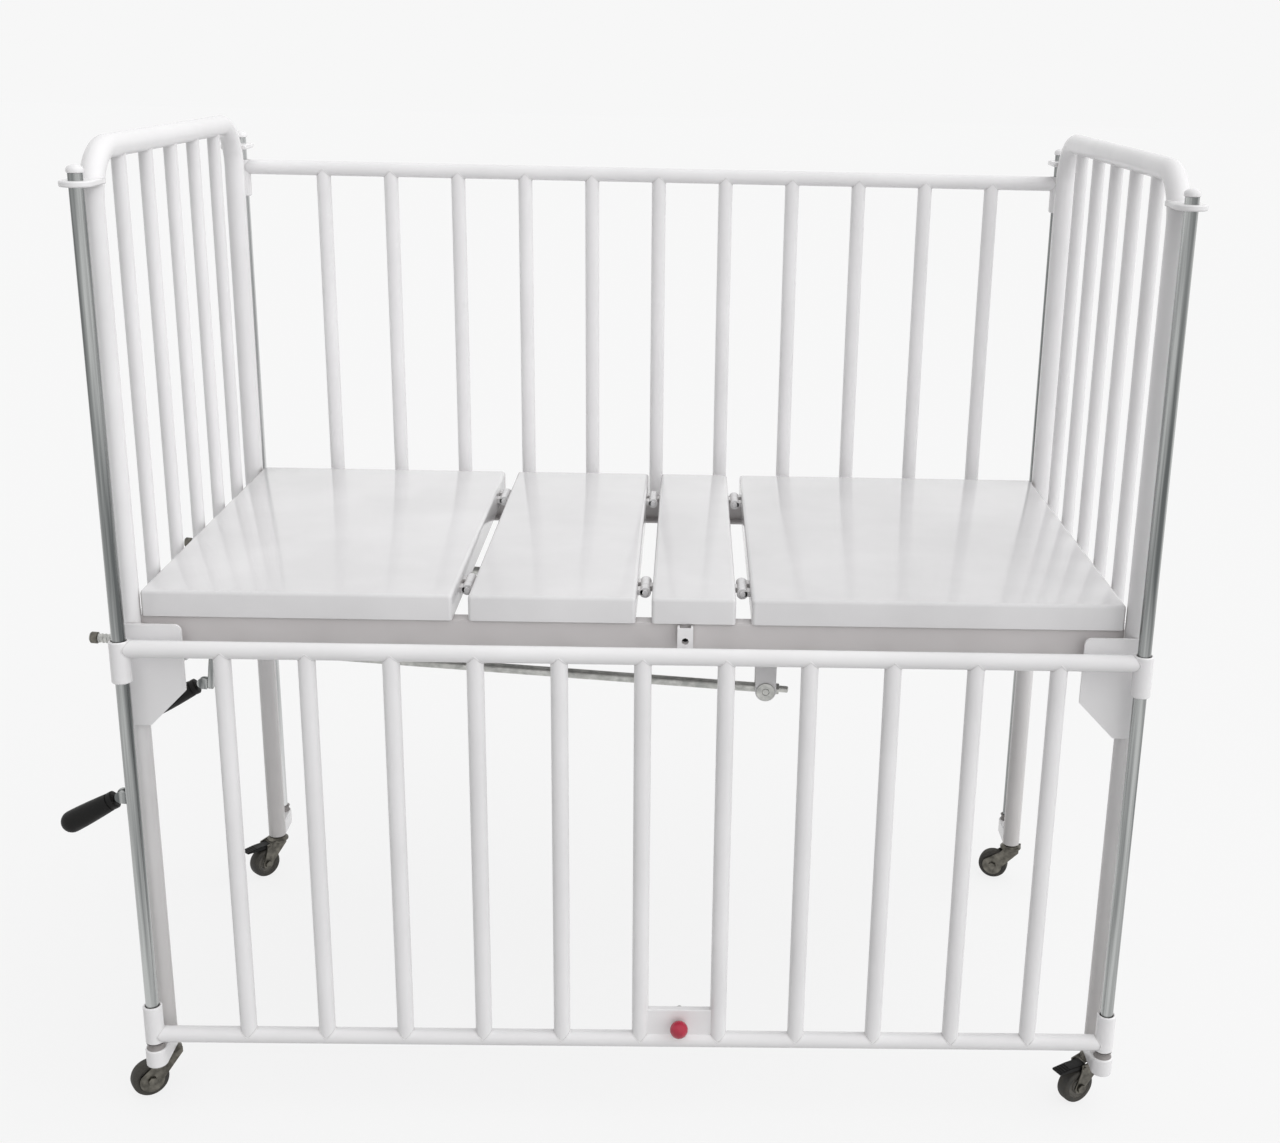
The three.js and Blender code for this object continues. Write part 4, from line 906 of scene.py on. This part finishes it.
# Casters
def caster_fork(corner):
    stem = joint_point(f"{corner}_caster_swivel")
    axle = joint_point(f"{corner}_wheel_roll")
    across = joint_axis(f"{corner}_wheel_roll")
    trail = Vector((axle.x - stem.x, axle.y - stem.y, 0)).normalized()
    under = Vector((stem.x, stem.y, 0))
    head_low = leg_bottom - PLAY - CASTER_HEAD_TALL
    crown = CASTER_HEAD_RADIUS
    head = [(0, 0), (crown - 4 * MM, 0), (crown, 2 * MM), (crown, 4 * MM), (crown - 1.6 * MM, 5 * MM)]
    head += [(crown - 2.4 * MM, 6.6 * MM), (crown - 6 * MM, CASTER_HEAD_TALL), (0, CASTER_HEAD_TALL)]
    bm = bmesh.new()
    add_lathe(bm, under + Z * head_low, Z, head, sides=36)
    cheek_y = WHEEL_WIDE / 2 + WHEEL_PLAY + FORK_SHEET / 2
    half = FORK_WIDE / 2
    shoulder = head_low + CASTER_HEAD_TALL - 3 * MM
    if corner in BRAKED:
        pin = joint_point(f"{corner}_brake_press")
        nose = PEDAL_PIN + PEDAL_EYE
        cheek = [(-half, shoulder), (-half, head_low - 3 * MM)]
        cheek += arc(CASTER_TRAIL, axle.z, half, 180, 360)
        cheek += [(nose, pin.z - PEDAL_THICK / 2), (nose, pin.z + PEDAL_EYE), (half, shoulder)]
        reach = across * (cheek_y + PEDAL_PIN_OUT)
        add_bar(bm, pin - reach, pin + reach, PEDAL_PIN_RADIUS, sides=12)
    else:
        back = crown - 2 * MM
        cheek = [(-back, shoulder), (-back, head_low - 2 * MM)]
        cheek += arc(CASTER_TRAIL, axle.z, half + FORK_HOOD, 180, 390)
        cheek += [(half + 5 * MM, head_low - 4 * MM), (half, shoulder)]
    outer = cheek_y + FORK_SHEET / 2
    for face in (-1, 1):
        add_plate(bm, cheek, under + across * face * cheek_y, trail, Z, FORK_SHEET)
        nut = axle + across * face * outer
        nut_end = axle + across * face * (outer + AXLE_NUT_THICK)
        add_bar(bm, nut, nut_end, AXLE_NUT_RADIUS, sides=6, edge=0.8 * MM)
    add_bar(bm, axle - across * cheek_y, axle + across * cheek_y, AXLE_RADIUS, sides=16)
    stem_top = under + Z * (leg_bottom + STEM_LONG)
    add_bar(bm, under + Z * head_low, stem_top, STEM_RADIUS, sides=20)
    name = f"{corner}_swivel_fork"
    finish_piece(name, bm, f"{corner}_caster", [f"{corner}_caster_fork"], [dark_zinc], FORK_EDGE)


def caster_wheel(corner):
    axle = joint_point(f"{corner}_wheel_roll")
    across = joint_axis(f"{corner}_wheel_roll")
    radius = axle.z
    half = WHEEL_WIDE / 2
    rim = radius - TYRE_DEEP
    tread = [(radius - 3.4 * MM, -half), (radius - 1.2 * MM, -half + 1.2 * MM)]
    tread += [(radius - 0.3 * MM, -half + 3.4 * MM), (radius, -half * 0.3)]
    tread += [(r, -a) for r, a in reversed(tread)]
    bm = bmesh.new()
    profile = [(rim, -half + 0.6 * MM), *tread, (rim, half - 0.6 * MM)]
    add_lathe(bm, axle, across, profile, sides=48, closed=True)
    hub = WHEEL_BORE + WHEEL_HUB_WALL
    face = [(WHEEL_BORE, half), (hub - 0.8 * MM, half), (hub, half - 0.8 * MM)]
    face += [(hub + 0.6 * MM, half - 3 * MM), (rim - 2 * MM, half - 3 * MM)]
    face += [(rim - 0.6 * MM, half - 1 * MM), (rim, half - 1 * MM)]
    centre = [(r, -a) for r, a in face] + list(reversed(face))
    add_lathe(bm, axle, across, centre, sides=48, finish=1, closed=True)
    name = f"{corner}_tyred_wheel"
    finish_piece(name, bm, f"{corner}_wheel", [f"{corner}_caster_wheel"], [tyre, nylon])


def brake_lever(corner):
    stem = joint_point(f"{corner}_caster_swivel")
    pin = joint_point(f"{corner}_brake_press")
    across = joint_axis(f"{corner}_wheel_roll")
    trail = Vector((pin.x - stem.x, pin.y - stem.y, 0)).normalized()
    under = Vector((stem.x, stem.y, 0))
    low = pin.z - PEDAL_THICK / 2
    high = low + PEDAL_THICK
    tip = CASTER_TRAIL + PEDAL_REACH
    bend = CASTER_TRAIL + PEDAL_THICK
    knee = bend + PEDAL_THICK
    tip_high = high - PEDAL_DROP
    outline = [(PEDAL_ROOT, low), (bend, low), (tip, tip_high - PEDAL_TIP_THICK), (tip, tip_high)]
    outline += [(knee, high), (PEDAL_ROOT, high)]
    wide = WHEEL_WIDE - 2 * WHEEL_PLAY
    bm = bmesh.new()
    add_plate(bm, outline, under, trail, Z, wide)
    for i in range(1, RIB_COUNT + 1):
        share = i / (RIB_COUNT + 1)
        rib = under + trail * (knee + (tip - knee) * share) + Z * (high - PEDAL_DROP * share)
        half = across * wide * RIB_SHARE
        add_bar(bm, rib - half, rib + half, RIB_RADIUS, sides=8, edge=0.2 * MM)
    name = f"{corner}_brake_lever"
    nodes = [f"{corner}_brake_pedal"]
    finish_piece(name, bm, f"{corner}_brake", nodes, [black_plastic], PEDAL_EDGE)


# Members, strikers and swivel blocks keep their solids, with rounded edges and their finish.
MEMBER_EDGE = 0.8 * MM
STRIKER_EDGE = 0.5 * MM
SOLID_SHARP_DEG = 30


def dress(name, finish, edge):
    solid = frame["nodes"][name]
    solid.data.materials.clear()
    solid.data.materials.append(finish)
    smooth(solid.data, SOLID_SHARP_DEG)
    round_edges(solid, edge)


for end, x in (("foot", foot_x), ("head", head_x)):
    end_tube(end, x)
    end_grille(end, x)
    dress(f"{end}_cross_member", frame_shaded_enamel, MEMBER_EDGE)
dress("seat_cross_member", frame_shaded_enamel, MEMBER_EDGE)
for side in SIDES:
    side_rail(side)
    latch_knob(side)
    striker_hole_shade_pad(side)
    dress(f"{side}_side_member", frame_shaded_enamel, MEMBER_EDGE)
    dress(f"{side}_latch_striker", enamel, STRIKER_EDGE)
deck()
for name in ("backrest", "knee"):
    spindle(name)
    crank(name)
    crank_grip(name)
    dress(f"{name}_swivel_block", zinc, MEMBER_EDGE)
for corner in CORNERS:
    rod_and_ends(corner)
    caster_fork(corner)
    caster_wheel(corner)
for corner in BRAKED:
    brake_lever(corner)

# Floor, world and lamps
BACKDROP = "#f7f7f7"
FLOOR_GLOW = 0.88
FLOOR_REACH = 30.0
WORLD_LIGHT = 0.32


def seen_directly(tree):
    """One where the camera, a mirror or glass looks at the surface, and zero where light falls on it."""
    path = node(tree, "ShaderNodeLightPath")
    sight = path.outputs["Is Camera Ray"]
    for ray in ("Is Glossy Ray", "Is Transmission Ray"):
        either = {0: sight, 1: path.outputs[ray]}
        sight = node(tree, "ShaderNodeMath", either, operation="MAXIMUM").outputs[0]
    return sight


def pale_floor():
    """Matt pale paper: almost white to the eye, with a soft grey shadow under the cot. The light that it
    throws back is a duller paper's, so that the cot's undersides stay shaded."""
    material, tree, shader = new_finish("pale_matt_paper")[:3]
    shader.inputs["Base Color"].default_value = linear("#f9f9f9")
    shader.inputs["Roughness"].default_value = 0.95
    shader.inputs["Specular IOR Level"].default_value = 0.0
    glow = node(tree, "ShaderNodeEmission", {"Color": linear(BACKDROP), "Strength": 1.0})
    layers = {0: FLOOR_GLOW, 1: shader.outputs[0], 2: glow.outputs[0]}
    pale = node(tree, "ShaderNodeMixShader", layers)
    dull = node(tree, "ShaderNodeBsdfDiffuse", {"Color": linear("#bcbcbc")})
    sides = {0: seen_directly(tree), 1: dull.outputs[0], 2: pale.outputs[0]}
    both = node(tree, "ShaderNodeMixShader", sides)
    tree.links.new(both.outputs[0], tree.nodes["Material Output"].inputs["Surface"])
    return material


def floor():
    mesh = bpy.data.meshes.new("floor")
    outline = oblong(-FLOOR_REACH, -FLOOR_REACH, FLOOR_REACH, FLOOR_REACH)
    mesh.from_pydata([(x, y, 0) for x, y in outline], [], [(0, 1, 2, 3)])
    mesh.materials.append(pale_floor())
    ground = bpy.data.objects.new("floor", mesh)
    bpy.context.scene.collection.objects.link(ground)


def studio_world():
    world = bpy.data.worlds.new("studio")
    bpy.context.scene.world = world
    world.use_nodes = True
    tree = world.node_tree
    light = tree.nodes["Background"]
    light.inputs["Color"].default_value = linear("#ffffff")
    light.inputs["Strength"].default_value = WORLD_LIGHT
    seen = node(tree, "ShaderNodeBackground", {"Color": linear(BACKDROP), "Strength": 1.0})
    sides = {0: seen_directly(tree), 1: light.outputs[0], 2: seen.outputs[0]}
    either = node(tree, "ShaderNodeMixShader", sides)
    tree.links.new(either.outputs[0], tree.nodes["World Output"].inputs["Surface"])


def soft_lamp(name, towards, spread_deg, strength):
    """A far, wide studio lamp that lights the whole floor evenly, out of sight of the mirror-like
    surfaces, which show the pale backdrop."""
    data = bpy.data.lights.new(name, "SUN")
    data.energy = strength
    data.angle = math.radians(spread_deg)
    lamp = bpy.data.objects.new(name, data)
    lamp.rotation_euler = Vector(towards).to_track_quat("-Z", "Y").to_euler()
    lamp.visible_glossy = False
    bpy.context.scene.collection.objects.link(lamp)


# The photograph's camera, measured from the middle of the cot: place in metres, angles in radians
CAMERA_PLACE = Vector((0.0613, -2.3137, 1.394))
CAMERA_YAW = 0.0247
CAMERA_PITCH = 0.3079
CAMERA_ROLL = 0.0235
IMAGE_WIDTH = 1280
FOCAL_PIXELS = 1669.6
PRINCIPAL_X = 724.9
SENSOR = 36.0


def photo_camera():
    data = bpy.data.cameras.new("camera")
    data.sensor_fit = "HORIZONTAL"
    data.sensor_width = SENSOR
    data.lens = FOCAL_PIXELS / IMAGE_WIDTH * SENSOR
    data.shift_x = (IMAGE_WIDTH / 2 - PRINCIPAL_X) / IMAGE_WIDTH
    data.clip_end = 200.0
    level = math.cos(CAMERA_PITCH)
    drop = math.sin(CAMERA_PITCH)
    ahead = Vector((math.sin(CAMERA_YAW) * level, math.cos(CAMERA_YAW) * level, -drop))
    flat = Vector((math.cos(CAMERA_YAW), -math.sin(CAMERA_YAW), 0))
    above = flat.cross(ahead)
    right = flat * math.cos(CAMERA_ROLL) + above * math.sin(CAMERA_ROLL)
    up = above * math.cos(CAMERA_ROLL) - flat * math.sin(CAMERA_ROLL)
    camera = bpy.data.objects.new("camera", data)
    turn = Matrix((right, up, -ahead)).transposed().to_4x4()
    camera.matrix_world = Matrix.Translation(CAMERA_PLACE + X * middle_x) @ turn
    bpy.context.scene.collection.objects.link(camera)
    bpy.context.scene.camera = camera


floor()
studio_world()
soft_lamp("right_front_lamp", (-0.66, 0.42, -0.62), spread_deg=120, strength=2.9)
soft_lamp("left_rear_lamp", (0.4, -0.88, -0.2), spread_deg=90, strength=1.0)
photo_camera()
bpy.context.scene.view_settings.view_transform = "Standard"
